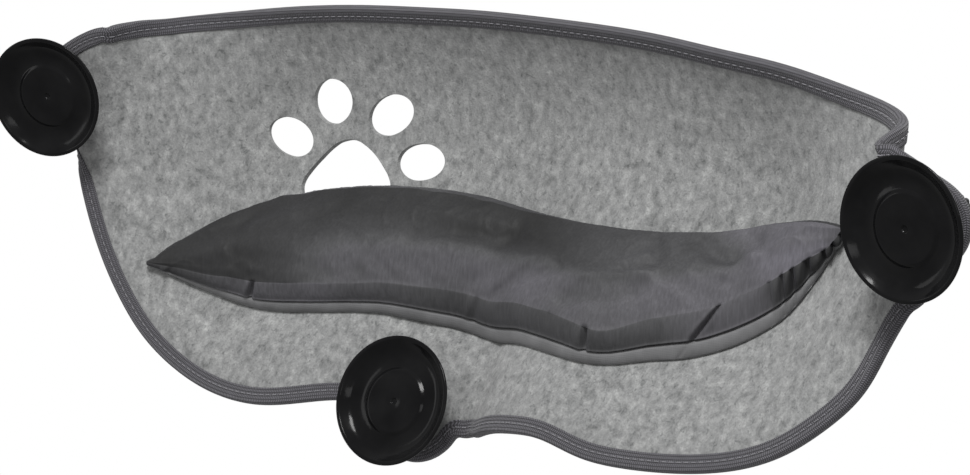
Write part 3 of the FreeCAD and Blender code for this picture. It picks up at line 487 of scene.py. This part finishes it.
def split_regions(ob,base,names=None):
    bm=bmesh.new(); bm.from_mesh(ob.data)
    planes=[((XL,0,0),(1,0,0)),((XR,0,0),(1,0,0)),mitre_plane(-1),mitre_plane(1),(tuple(x*MM for x in fb["O"]),fb["e1"])]
    for co,no in planes:
        bmesh.ops.bisect_plane(bm,geom=bm.verts[:]+bm.edges[:]+bm.faces[:],dist=1e-7,plane_co=Vector(co),plane_no=Vector(no))
    bm.faces.ensure_lookup_table(); reg=[region_of(tuple(f.calc_center_median())) for f in bm.faces]
    made={}
    for r in ("left","right","mid","low_left","low_right"):
        if r not in reg: continue
        b2=bm.copy(); b2.faces.ensure_lookup_table()
        bmesh.ops.delete(b2,geom=[f for f,x in zip(b2.faces,reg) if x!=r],context="FACES")
        es=[e for e in b2.edges if len(e.link_faces)==1]
        if es:      # close the cut inside the felt, with a sharp edge so that the shading runs on across it
            for f in bmesh.ops.holes_fill(b2,edges=es,sides=0)["faces"]:
                f.smooth=False
                for e in f.edges: e.smooth=False
            caps=[f for f in b2.faces if len(f.verts)>8]
            if caps: bmesh.ops.triangulate(b2,faces=caps)
        me=bpy.data.meshes.new(base+"_"+r); b2.to_mesh(me); b2.free(); me.validate()
        for mt in ob.data.materials: me.materials.append(mt)
        o=bpy.data.objects.new(base+"_"+r,me); bpy.context.scene.collection.objects.link(o); made[r]=o
    bm.free(); bpy.data.objects.remove(ob,do_unlink=True)
    for r,o in made.items():
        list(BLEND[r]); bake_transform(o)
    return made
# closed pieces: the cut faces between regions stay open inside the felt, so cap them
def cap_open(o):
    bm=bmesh.new(); bm.from_mesh(o.data); es=[e for e in bm.edges if len(e.link_faces)==1]
    if es: bmesh.ops.holes_fill(bm,edges=es,sides=0)
    bm.to_mesh(o.data); bm.free()

# ------------------------------------------------------------------ binding tape and stitches along the sheet's outline
tree=BVHTree.FromPolygons([tuple(v) for v in G.reshape(-1,3)],[tuple(int(x) for x in f) for f in grid_faces(NI,NJ)])
GNf=GN.reshape(-1,3)
def surf(P,hint):
    """Closest point of the middle surface and its normal, pointing to the inside of the bed."""
    co,no,idx,dist=tree.find_nearest(Vector(P)); 
    if no.dot(Vector(hint))<0: no=-no
    return np.array(co),np.array(no)
def path_points(P,Nn,step):
    s=np.r_[0,np.cumsum(np.linalg.norm(np.diff(P,axis=0),axis=1))]; n=max(8,int(s[-1]/step)); t=np.linspace(0,s[-1],n)
    Q=np.stack([np.interp(t,s,P[:,k]) for k in range(3)],1); M=np.stack([np.interp(t,s,Nn[:,k]) for k in range(3)],1)
    M/=np.linalg.norm(M,axis=1,keepdims=True); return Q,M,t
loopP=np.concatenate([G[:,-1],G[-1,::-1][1:],G[::-1,0][1:],G[0][1:-1]]); loopN=np.concatenate([GN[:,-1],GN[-1,::-1][1:],GN[::-1,0][1:],GN[0][1:-1]])
centre=G[NI//2,NJ//2]
def smooth_closed(A,it):
    for _ in range(it): A=A+0.5*((np.roll(A,1,0)+np.roll(A,-1,0))/2-A)
    return A
loopP=smooth_closed(loopP,3); loopN=smooth_closed(loopN,24); loopN/=np.linalg.norm(loopN,axis=1,keepdims=True)
STEP=1.3
LP,LN,LT=path_points(np.concatenate([loopP,loopP[:1]]),np.concatenate([loopN,loopN[:1]]),STEP)
LP,LN,LT=LP[:-1],LN[:-1],LT[:-1]; total=LT[-1]+(LT[1]-LT[0])
T=np.roll(LP,-1,0)-np.roll(LP,1,0); T=smooth_closed(T,3); T/=np.linalg.norm(T,axis=1,keepdims=True)
S=np.cross(LN,T)
# the loop runs rim left to right, so the inside of the sheet lies on one fixed side
i0=len(LP)//8
if (centre-LP[i0])@S[i0]<0: S=-S
S-= (np.sum(S*T,axis=1))[:,None]*T; S/=np.linalg.norm(S,axis=1,keepdims=True)
def at(k,s,h,Sx=None):
    """Point of the tape at loop station k, s millimetres in from the edge, h above the felt's middle."""
    base=LP[k]+S[k]*s
    if s>0.5:
        co,no=surf(base,LN[k]); return co+no*h
    return base+LN[k]*h
def tape_ring(k,w=10.0,t=1.0):
    hf=FELT_T/2+0.06
    prof=[(w,hf+0.05),(w+0.05,hf+t*0.55),(w-0.35,hf+t*0.95),(w-1.4,hf+t),(w*0.62,hf+t*1.02),(w*0.5,hf+t*0.80),(w*0.38,hf+t*1.0),(1.6,hf+t*1.0),(0.2,hf+t*0.92),(-0.75,hf+t*0.35),(-1.05,hf-0.6),(-1.12,0.0)]
    full=prof+[(s,-h) for s,h in prof[:-1][::-1]]
    inner=[(w-0.3,-hf),(0.05,-hf),(0.02,0.0),(0.05,hf),(w-0.3,hf)]
    return full,inner
full0,inner0=tape_ring(0)
ring=full0+inner0; nr=len(ring)
TV=np.array([[at(k,s,h) for s,h in ring] for k in range(len(LP))])
nk=len(LP)
vv=np.cumsum([0]+[math.hypot(ring[i+1][0]-ring[i][0],ring[i+1][1]-ring[i][1]) for i in range(nr-1)])
F=[];UV=[]
for k in range(nk):
    k2=(k+1)%nk
    for j in range(nr):
        j2=(j+1)%nr; F.append([k*nr+j,k2*nr+j,k2*nr+j2,k*nr+j2])
        u0=LT[k]*MM; u1=(LT[k2] if k2 else total)*MM; v0=vv[j]*MM; v1=(vv[j2] if j2 else vv[-1]+1)*MM
        UV+= [(u0,v0),(u1,v0),(u1,v1),(u0,v1)]
tape=make_obj("binding",TV.reshape(-1,3)*MM,F,[M_TAPE])
uvl=tape.data.uv_layers.new(name="UVMap")
if len(uvl.data)==len(UV): uvl.data.foreach_set("uv",np.array(UV,dtype=np.float32).ravel())
fix_normals(tape); sharp_by_angle(tape,55)
# stitches: short raised threads on both faces, on one line
def stitches(name,s_line,pitch=5.4,length=3.7,r=0.30):
    V=[];F=[];kk=0; pos=0.0
    n_st=int(total/pitch); seg=6; ln=6
    stepmm=LT[1]-LT[0]
    for i in range(n_st):
        c=i*total/n_st
        for sg in (1,-1):
            ringids=[]
            for a in range(ln+1):
                x=c+length*(a/ln-0.5); kf=(x/stepmm)%nk; k0=int(kf)%nk; fr=kf-int(kf); k1=(k0+1)%nk
                base=LP[k0]*(1-fr)+LP[k1]*fr+S[k0]*s_line; Nn=LN[k0]; Tt=T[k0]; Ss=S[k0]
                co,no=surf(base,Nn); lift=0.42*math.sin(math.pi*a/ln)**0.6 if 0<a<ln else -0.25
                cen=co+no*sg*(FELT_T/2+0.86+lift*0.8); rr=r*(0.35 if a in (0,ln) else 1.0)
                row=[]
                for b in range(seg):
                    an=2*math.pi*b/seg; V.append(cen+Ss*rr*math.cos(an)+no*rr*math.sin(an)); row.append(len(V)-1)
                ringids.append(row)
            for a in range(ln):
                for b in range(seg): F.append([ringids[a][b],ringids[a+1][b],ringids[a+1][(b+1)%seg],ringids[a][(b+1)%seg]])
            F.append(ringids[0][::-1]); F.append(ringids[-1])
    ob=make_obj(name,np.array(V)*MM,F,[M_THREAD]); fix_normals(ob); return ob
st=stitches("stitching",5.0)
area_r={r:0.0 for r in BLEND}
Q=G*MM; ce=(Q[:-1,:-1]+Q[1:,:-1]+Q[1:,1:]+Q[:-1,1:])/4; ar=(np.linalg.norm(np.cross(Q[1:,:-1]-Q[:-1,:-1],Q[:-1,1:]-Q[:-1,:-1]),axis=2)+np.linalg.norm(np.cross(Q[1:,:-1]-Q[1:,1:],Q[:-1,1:]-Q[1:,1:]),axis=2))/2
ext={r:[set(),set()] for r in BLEND}; RG=np.array([[region_of(tuple(ce[i,j])) for j in range(ce.shape[1])] for i in range(ce.shape[0])])
du_=np.linalg.norm(Q[1:,:-1]-Q[:-1,:-1],axis=2); dv_=np.linalg.norm(Q[:-1,1:]-Q[:-1,:-1],axis=2)
for r in BLEND:
    k=RG==r; print("flat",r,"area",round(float(ar[k].sum()),5),"width",round(float((du_*k).sum(axis=0).max()),4),"height",round(float((dv_*k).sum(axis=1).max()),4))
feltp=split_regions(felt,"felt")
tapep=split_regions(tape,"binding")
stp=split_regions(st,"stitching")
for n_,r in (("felt_shell","mid"),("felt_tab_left","left"),("felt_tab_right","right"),("felt_tab_bottom","mid")):
    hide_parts(n_)
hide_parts("rim_binding"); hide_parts("tab_binding_left"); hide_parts("tab_binding_right")
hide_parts("lower_binding_left"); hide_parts("lower_binding_right")
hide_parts("tab_binding_bottom")

# ------------------------------------------------------------------ suction cups, nuts
def cup(m):
    f=[(0,4.8),(1.5,4.8,0.3),(2.3,3.9,0.5),(6,3.5,1),(13,3.7,3),(20.3,4.0,0.7),(21.5,4.7,0.5),(22.7,5.5,0.7),(26,6.3,2),(30,6.5,2.5),(34.5,5.0,2.5),(38.2,1.9,1.2),(39.9,0.25,0.4),(40.5,0.0,0.2),(42.0,0.0,0.3),(42.5,0.45,0.3),
       (42.45,1.4,0.4),(39.2,5.6,2.5),(32,10.1,4),(23,13.8,4),(17,15.9,2.5),(14.6,17.6,1.8),(13.4,22.0,2),(12.3,31.6,0.5),(11.7,33.0,0.4),(0,33.0)]
    pr=round_profile(f,0.8,6)
    ph={"left":0.3,"right":1.9,"bottom":2.6}[m]
    def wob(r,w,a):
        return r+ (0.35*math.sin(2*a+ph)+0.18*math.sin(3*a+2*ph))*(max(0,r-20)/22.5)**2
    ob=lathe("cup_"+m,pr,m,160,[M_PVC],0.0,wob); sharp_by_angle(ob,60); return ob
def nut(m):
    prof=[(0,40.0),(9.2,40.0,0.3),(12.1,40.9,0.7),(12.5,42.2,0.5),(12.5,52.4,0.6),(12.0,54.0,0.8),(10.2,55.0,0.6),(6.2,55.0,0.3),(5.4,54.3,0.3),(0,54.3)]
    pr=round_profile(prof,0.4,4)
    pr2=[]
    for (a,b) in zip(pr,pr[1:]):
        n=max(1,int(abs(b[1]-a[1])/1.2)); pr2+= [(a[0]+(b[0]-a[0])*k/n,a[1]+(b[1]-a[1])*k/n) for k in range(n)]
    pr2.append(pr[-1])
    def flute(r,w,a):
        if r<9.6: return r
        g=abs(math.cos(8*a))**3.0; return r-1.55*(1-abs(math.sin(8*a))**1.3)**1.6*min(1,(r-9.6)/2.0)
    ob=lathe("nut_fluted_"+m,pr2,m,256,[M_NUT],0.0,flute); sharp_by_angle(ob,50); return ob
for m in MOUNTS:
    c=cup(m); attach(c,"cup_"+m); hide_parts("suction_cup_"+m)
    n=nut(m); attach(n,"nut_"+m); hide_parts("nut_"+m)

# ------------------------------------------------------------------ pad
STATION = [0.0,0.0349,0.0755,0.1118,0.1543,0.2241,0.286,0.3583,0.4171,0.4767,0.5454,0.5914,0.6281,0.7016,0.7847,0.8311,0.8758,0.9082,0.938,0.9688,1.0]
FRONT_LOW = [(0.142,0.165),(0.171,0.204),(0.203,0.231),(0.232,0.246),(0.262,0.253),(0.316,0.266),(0.364,0.26),(0.419,0.253),(0.458,0.268),(0.499,0.275),(0.576,0.236),(0.614,0.219),(0.636,0.224),(0.688,0.274),(0.733,0.302),(0.766,0.336),(0.797,0.379),(0.816,0.411),(0.832,0.456),(0.849,0.511),(0.862,0.556)]
FRONT_TOP = [(0.146,0.178),(0.175,0.232),(0.209,0.265),(0.242,0.289),(0.271,0.303),(0.323,0.320),(0.367,0.316),(0.418,0.322),(0.458,0.344),(0.503,0.355),(0.582,0.315),(0.618,0.296),(0.644,0.292),(0.693,0.351),(0.755,0.408),(0.783,0.446),(0.808,0.475),(0.829,0.505),(0.845,0.539),(0.859,0.562),(0.874,0.574)]
BACK = [(0.150,0.200),(0.16,0.272),(0.175,0.35),(0.188,0.416),(0.21,0.494),(0.264,0.564),(0.311,0.59),(0.366,0.594),(0.416,0.592),(0.468,0.594),(0.531,0.576),(0.578,0.55),(0.612,0.545),(0.661,0.567),(0.735,0.606),(0.766,0.629),(0.8,0.649),(0.831,0.654),(0.851,0.651),(0.869,0.636),(0.886,0.612)]
front_lo,front_hi,back_c=[Spline([(a,b,0) for a,b in L],STATION) for L in (FRONT_LOW,FRONT_TOP,BACK)]
def pad(a,b,c,T=20.0):
    f0,f1,k=front_lo(a),front_hi(a),back_c(a); f=(lerp(f0[0],f1[0],c),lerp(f0[1],f1[1],c)); u=lerp(f[0],k[0],b); v=lerp(f[1],k[1],b)
    th=T*(0.45+0.55*smooth(min(a,1-a)/0.12)); return off(u,v,FELT_T/2+1.2+c*th)
NA,NB=((430,44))
def pad_layer(c,NA=NA,NB=NB):
    return np.array([[pad(i/(NA-1),j/(NB-1),c) for j in range(NB)] for i in range(NA)])
PT=pad_layer(1.0); PU=pad_layer(0.0)
# folds of the top cover: (station, share across) points, height and half width in millimetres
FOLDS=[([(0.534,0.10),(0.587,0.25),(0.637,0.406),(0.708,0.356)],2.6,5.0),([(0.62,0.12),(0.72,0.164),(0.791,0.209),(0.877,0.322),(0.918,0.80)],3.0,9.0),
       ([(0.590,0.14),(0.640,0.20),(0.696,0.20)],-2.4,5.0),([(0.765,0.878),(0.811,0.508)],-2.6,9.0),([(0.664,0.572),(0.708,0.668)],1.6,3.4),
       ([(0.716,1.0),(0.72,0.617)],-1.8,6.0),([(0.222,0.188),(0.358,0.239),(0.473,0.254),(0.558,0.312)],2.2,8.0),([(0.136,0.252),(0.221,0.166),(0.264,0.092)],-1.6,6.0),
       ([(0.386,0.404),(0.496,0.655),(0.585,0.691)],-2.0,9.0),([(0.278,0.569),(0.388,0.715),(0.496,0.756)],1.8,9.0),([(0.08,0.45),(0.17,0.62),(0.26,0.80)],1.5,7.0),
       ([(0.84,0.9),(0.87,0.6),(0.885,0.35)],-1.6,6.0),([(0.94,0.95),(0.925,0.5),(0.905,0.15)],1.8,5.0),([(0.30,0.05),(0.33,0.30)],-1.2,5.0),([(0.745,0.06),(0.70,0.32)],1.4,4.5)]
def seg_dist(P,chain):
    best=np.full(P.shape[:-1],1e9)
    for A,B in zip(chain,chain[1:]):
        d=B-A; t=np.clip(((P-A)@d)/(d@d),0,1); q=A+t[...,None]*d; best=np.minimum(best,np.linalg.norm(P-q,axis=-1))
    return best
def fold_height(P):
    H=np.zeros(P.shape[:-1])
    for pts,h,w in FOLDS:
        chain=[np.array(pad(a,b,1.0)) for a,b in pts]; d=seg_dist(P,chain); H+=1.25*h*np.exp(-(d/w)**1.7)
    return H
upv=PT-PU; un=upv/np.linalg.norm(upv,axis=2,keepdims=True)
A_=np.linspace(0,1,NA)[:,None]; B_=np.linspace(0,1,NB)[None,:]
edge=np.minimum(np.minimum(A_,1-A_)/0.035,np.minimum(B_/0.10,(1-B_)/0.16)); dome=1-np.clip(1-edge,0,1)**2
Wn=np.zeros((NA,NB))
for i in range(NA):
    for j in range(NB):
        P=Vector(PT[i,j])*0.001
        r1=1-abs(noise.noise(Vector((P.x*17+P.y*9,P.y*30-P.x*5,P.z*20+3.1))))*2.4; r2=1-abs(noise.noise(Vector((P.x*42-P.y*25,P.y*48+P.x*11,P.z*40+9.4))))*2.9
        Wn[i,j]=1.3*max(0,r1)**3+0.7*max(0,r2)**4+1.2*noise.noise(Vector((P.x*9,P.y*16,1.7)))
Hf=fold_height(PT)
crown=5.5*np.exp(-((B_-0.36)/0.20)**2)*np.clip(np.minimum(A_,1-A_)/0.18,0,1)+0*A_
top=PT+un*(crown+(dome-1)*1.8+(Wn+Hf)*np.clip(0.25+0.75*dome,0,1))[...,None]-un*1.2
loop=[(i,0) for i in range(NA)]+[(NA-1,j) for j in range(1,NB)]+[(i,NB-1) for i in range(NA-2,-1,-1)]+[(0,j) for j in range(NB-2,0,-1)]
nl=len(loop); LI=np.array([i for i,j in loop]); LJ=np.array([j for i,j in loop])
edgeT=top[LI,LJ]; edgeB=PU[LI,LJ]; upd=edgeT-edgeB; updn=upd/np.linalg.norm(upd,axis=1,keepdims=True)
tang=np.roll(edgeT,-1,0)-np.roll(edgeT,1,0); tang=smooth_closed(tang,6); tang/=np.linalg.norm(tang,axis=1,keepdims=True)
outd=np.cross(tang,updn); cen=PT[NA//2,NB//2]
if np.mean(np.sum(outd*(edgeT-PT.reshape(-1,3).mean(0)),axis=1))<0: outd=-outd
outd=smooth_closed(outd,8); outd/=np.linalg.norm(outd,axis=1,keepdims=True)
sl=np.r_[0,np.cumsum(np.linalg.norm(np.diff(edgeT,axis=0),axis=1))]
AL=LI/(NA-1); SEAM=0.36
SIDE=np.where(LJ==0,1,0)+np.where(LI==NA-1,2,0)      # 1 front, 2 right end
def band_detail(k,h):
    """Outward offset of the band at loop station k and share h of its height: pleats, gathers, seam and edge."""
    a=AL[k]; s=sl[k]; up=math.sin(math.pi*min(1,max(0,(h-SEAM)/(1-SEAM))))**0.6 if h>SEAM else 0.0
    lo=math.sin(math.pi*min(1,max(0,h/SEAM)))**0.7 if h<SEAM else 0.0
    o=1.5*up+1.25*lo
    if LJ[k]<NB//2 and LI[k]<NA-1:
        for c,lean,dep in ((0.1535,0.000,4.4),(0.6281,-0.004,4.6),(0.7750,0.014,5.0),(0.03,0.0,0.8),(0.47,0.003,0.9)):
            x=(a-(c+lean*(h-SEAM)*2))*620.0; o-= dep*math.exp(-(x/2.0)**2)*(0.35+0.65*up)*(1 if h>SEAM-0.02 else 0.3)
            o+= 1.3*math.exp(-((x+4.6)/2.8)**2)*up
    g=smooth((a-0.865)/0.05)*(1.0 if LJ[k]<NB*0.7 else max(0.0,1-(LJ[k]/NB-0.7)/0.25))
    o+= g*(4.0*(abs(math.sin(s*0.30+0.6*math.sin(s*0.17)))**0.7*2-1.5)*(0.30+0.70*up)-0.3)
    o+= 0.45*noise.noise(Vector((s*0.045,h*1.8,2.0)))+0.22*noise.noise(Vector((s*0.35,h*3.0,5.0)))
    return o
SEAM_D={0.41:0.25,0.395:0.7,0.385:0.75,0.376:0.2,0.368:-1.4,0.360:-2.7,0.352:-2.4,0.342:-1.3,0.325:-0.5}
prof=[0.992,0.972,0.94,0.90,0.85,0.79,0.72,0.65,0.58,0.51,0.45,0.41,0.395,0.385,0.376,0.368,0.360,0.352,0.342,0.325,0.30,0.26,0.21,0.16,0.11,0.07,0.03]
def ring(h,extra=True):
    o=np.array([band_detail(k,h) for k in range(nl)])+(SEAM_D.get(h,0.0) if extra else 0.0)
    return edgeB+upd*h+outd*o[:,None]
def closed_pad(name,rings,hs,mats):
    V=[top.reshape(-1,3)]; F=grid_faces(NA,NB).tolist(); mi=[0]*len(F); base=NA*NB; prev=(LI*NB+LJ).tolist()
    for r,(h,R) in enumerate(zip(hs,rings)):
        cur=[base+r*nl+k for k in range(nl)]
        for k in range(nl): F.append([prev[k],cur[k],cur[(k+1)%nl],prev[(k+1)%nl]]); mi.append(0 if h>=SEAM else 1)
        prev=cur; V.append(R)
    o0=base+len(hs)*nl; V.append(PU.reshape(-1,3)); bi=[o0+i*NB+j for i,j in loop]
    for k in range(nl): F.append([prev[k],bi[k],bi[(k+1)%nl],prev[(k+1)%nl]]); mi.append(1)
    lo_f=grid_faces(NA,NB,o0,True).tolist(); F+=lo_f; mi+=[1]*len(lo_f)
    ob=make_obj(name,np.concatenate(V)*MM,F,mats); ob.data.polygons.foreach_set("material_index",mi); fix_normals(ob); return ob
rings=[ring(h) for h in prof]
def sstep(x,lo,hi):
    t=np.clip((x-lo)/(hi-lo),0,1); return t*t*(3-2*t)
# painted shade and sheen on the top cover: darker towards the back and the left end, lighter towards the front and
# right, a lavender painted sheen at the right end, lighter on fold ridges and darker in fold hollows, darker again at
# the very right tip
painted_light_top=0.08+0.52*sstep(B_+0*A_,0.74,0.14)*sstep(A_,0.14,0.30)+0*B_
painted_light_top=np.maximum(painted_light_top,0.40*sstep(A_+0*B_,0.52,0.66)); painted_light_top=painted_light_top+0.30*sstep(A_+0.10*B_,0.84,0.93)+0.05*np.tanh(Hf)-0.10*sstep(A_+0*B_,0.975,0.995)
# painted shade on the band above the seam: darker at the gathered right end and at the left end, with a slow wave along
# it; the lower strip gets one fixed value
def painted_light_band(h):
    a=AL; g=0.50+0.10*np.sin(a*9.0)-0.42*sstep(a,0.875,0.93)-0.22*sstep(a,0.13,0.02); return g if h>=SEAM else g*0+0.5
# the painted light and shade values of top, band and underside go to the pad as a UV map that the cover material reads
painted_light_all=np.concatenate([painted_light_top.reshape(-1)]+[painted_light_band(h) for h in prof]+[np.full(NA*NB,0.3)])
padob=closed_pad("pad_cushion",rings,prof,[M_PAD,M_UNDER])
lu=padob.data.uv_layers.new(name="painted_light"); li=np.empty(len(padob.data.loops),dtype=np.int32); padob.data.loops.foreach_get("vertex_index",li)
lu.data.foreach_set("uv",np.stack([painted_light_all[li],np.zeros(len(li))],1).astype(np.float32).ravel())
# the swelling of the stuffed cover, by cloth simulation on a voxel copy; the pad takes its shape from the copy
sim=closed_pad("pad_sim",[ring(h,False)-outd*0.8 for h in prof[::3]],prof[::3],[M_PAD])
rm=sim.modifiers.new("remesh","REMESH"); rm.mode="VOXEL"; rm.voxel_size=0.0045; apply_mods(sim)
before=np.empty(len(sim.data.vertices)*3); sim.data.vertices.foreach_get("co",before); before=before.reshape(-1,3)
tb=BVHTree.FromPolygons([tuple(v*MM) for v in PU.reshape(-1,3)],[tuple(int(x) for x in f) for f in grid_faces(NA,NB)])
vg=sim.vertex_groups.new(name="pin")
for v in sim.data.vertices:
    d=tb.find_nearest(v.co)[3]; w=1.0 if d<0.0035 else max(0.0,1-(d-0.0035)/0.004)
    if w>0: vg.add([v.index],w,"REPLACE")
cl=sim.modifiers.new("cloth","CLOTH"); st_=cl.settings; st_.quality=6; st_.mass=0.25; st_.tension_stiffness=12; st_.compression_stiffness=4; st_.shear_stiffness=4; st_.bending_stiffness=0.8
st_.use_pressure=True; st_.uniform_pressure_force=4.0; st_.vertex_group_mass="pin"; st_.effector_weights.gravity=0.0; cl.collision_settings.use_self_collision=False; cl.collision_settings.use_collision=False
cl.point_cache.frame_start=1; cl.point_cache.frame_end=20
for fr in range(1,21): bpy.context.scene.frame_set(fr)
apply_mods(sim); bpy.context.scene.frame_set(1)
after=np.empty(len(sim.data.vertices)*3); sim.data.vertices.foreach_get("co",after); after=after.reshape(-1,3)
mv=after-before; ml=np.linalg.norm(mv,axis=1,keepdims=True); cap=0.005; mv=np.where(ml>cap,mv*(cap/np.maximum(ml,1e-9)),mv)
print("cloth move mm: mean",float(ml.mean()*1000),"max",float(ml.max()*1000))
# carry the movement over to the finely seamed pad, weighted by distance
from mathutils.kdtree import KDTree
kd=KDTree(len(before)); [kd.insert(Vector(c),i_) for i_,c in enumerate(before)]; kd.balance()
for v in padob.data.vertices:
    acc=Vector((0,0,0)); ws=0.0
    for co_,idx,dist in kd.find_n(v.co,8):
        w=math.exp(-(dist/0.005)**2)+1e-6; acc+=Vector(mv[idx])*w; ws+=w
    v.co=v.co+acc/ws
bpy.data.objects.remove(sim,do_unlink=True); padob.data.update()
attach(padob,"pad"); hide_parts("pad_top_cover","pad_bottom_cover","pad_front_band","pad_back_band","pad_filling")

# ------------------------------------------------------------------ world, lights, camera
def plane(name,size,z,matl):
    ob=make_obj(name,[(-size,-size,z),(size,-size,z),(size,size,z),(-size,size,z)],[[0,1,2,3]],[matl],False); return ob
world=bpy.data.worlds.new("studio"); bpy.context.scene.world=world; world.use_nodes=True
wn=world.node_tree; bg=wn.nodes["Background"]; bg.inputs[0].default_value=(1,1,1,1); lp=wn.nodes.new("ShaderNodeLightPath")
wm=wn.nodes.new("ShaderNodeMath"); wm.operation="MULTIPLY_ADD"; wm.inputs[1].default_value=0.44; wm.inputs[2].default_value=0.56; wn.links.new(lp.outputs["Is Camera Ray"],wm.inputs[0]); wn.links.new(wm.outputs[0],bg.inputs[1])
def area(name,locn,target,size,power):
    l=bpy.data.lights.new(name,"AREA"); l.shape="RECTANGLE"; l.size=size[0]; l.size_y=size[1]; l.energy=power
    o=bpy.data.objects.new(name,l); bpy.context.scene.collection.objects.link(o); o.location=locn
    o.rotation_euler=(Vector(target)-Vector(locn)).to_track_quat("-Z","Y").to_euler(); return o
area("key_upper_right",(0.45,-0.95,1.75),(0,0.05,-0.08),(0.6,0.6),57)
area("fill_front",(1.6,-1.9,0.9),(0,0.05,-0.05),(0.9,0.6),8)
area("rim_side",(-1.5,-1.0,0.3),(-0.1,0.05,-0.05),(0.4,0.9),3)
area("back",(0.3,2.0,0.9),(0,0,0),(1.8,1.0),6)
cam=bpy.data.cameras.new("camera"); co=bpy.data.objects.new("camera",cam); bpy.context.scene.collection.objects.link(co)
co.location=(1.153965,-1.422786,0.366293); co.rotation_euler=(math.radians(90-12.8483),0,math.radians(37.8872))
cam.sensor_fit="HORIZONTAL"; cam.sensor_width=36.0; cam.lens=36.0*3000/970; cam.clip_end=100
bpy.context.scene.camera=co
bpy.context.scene.view_settings.view_transform="Standard"
bpy.context.view_layer.update()
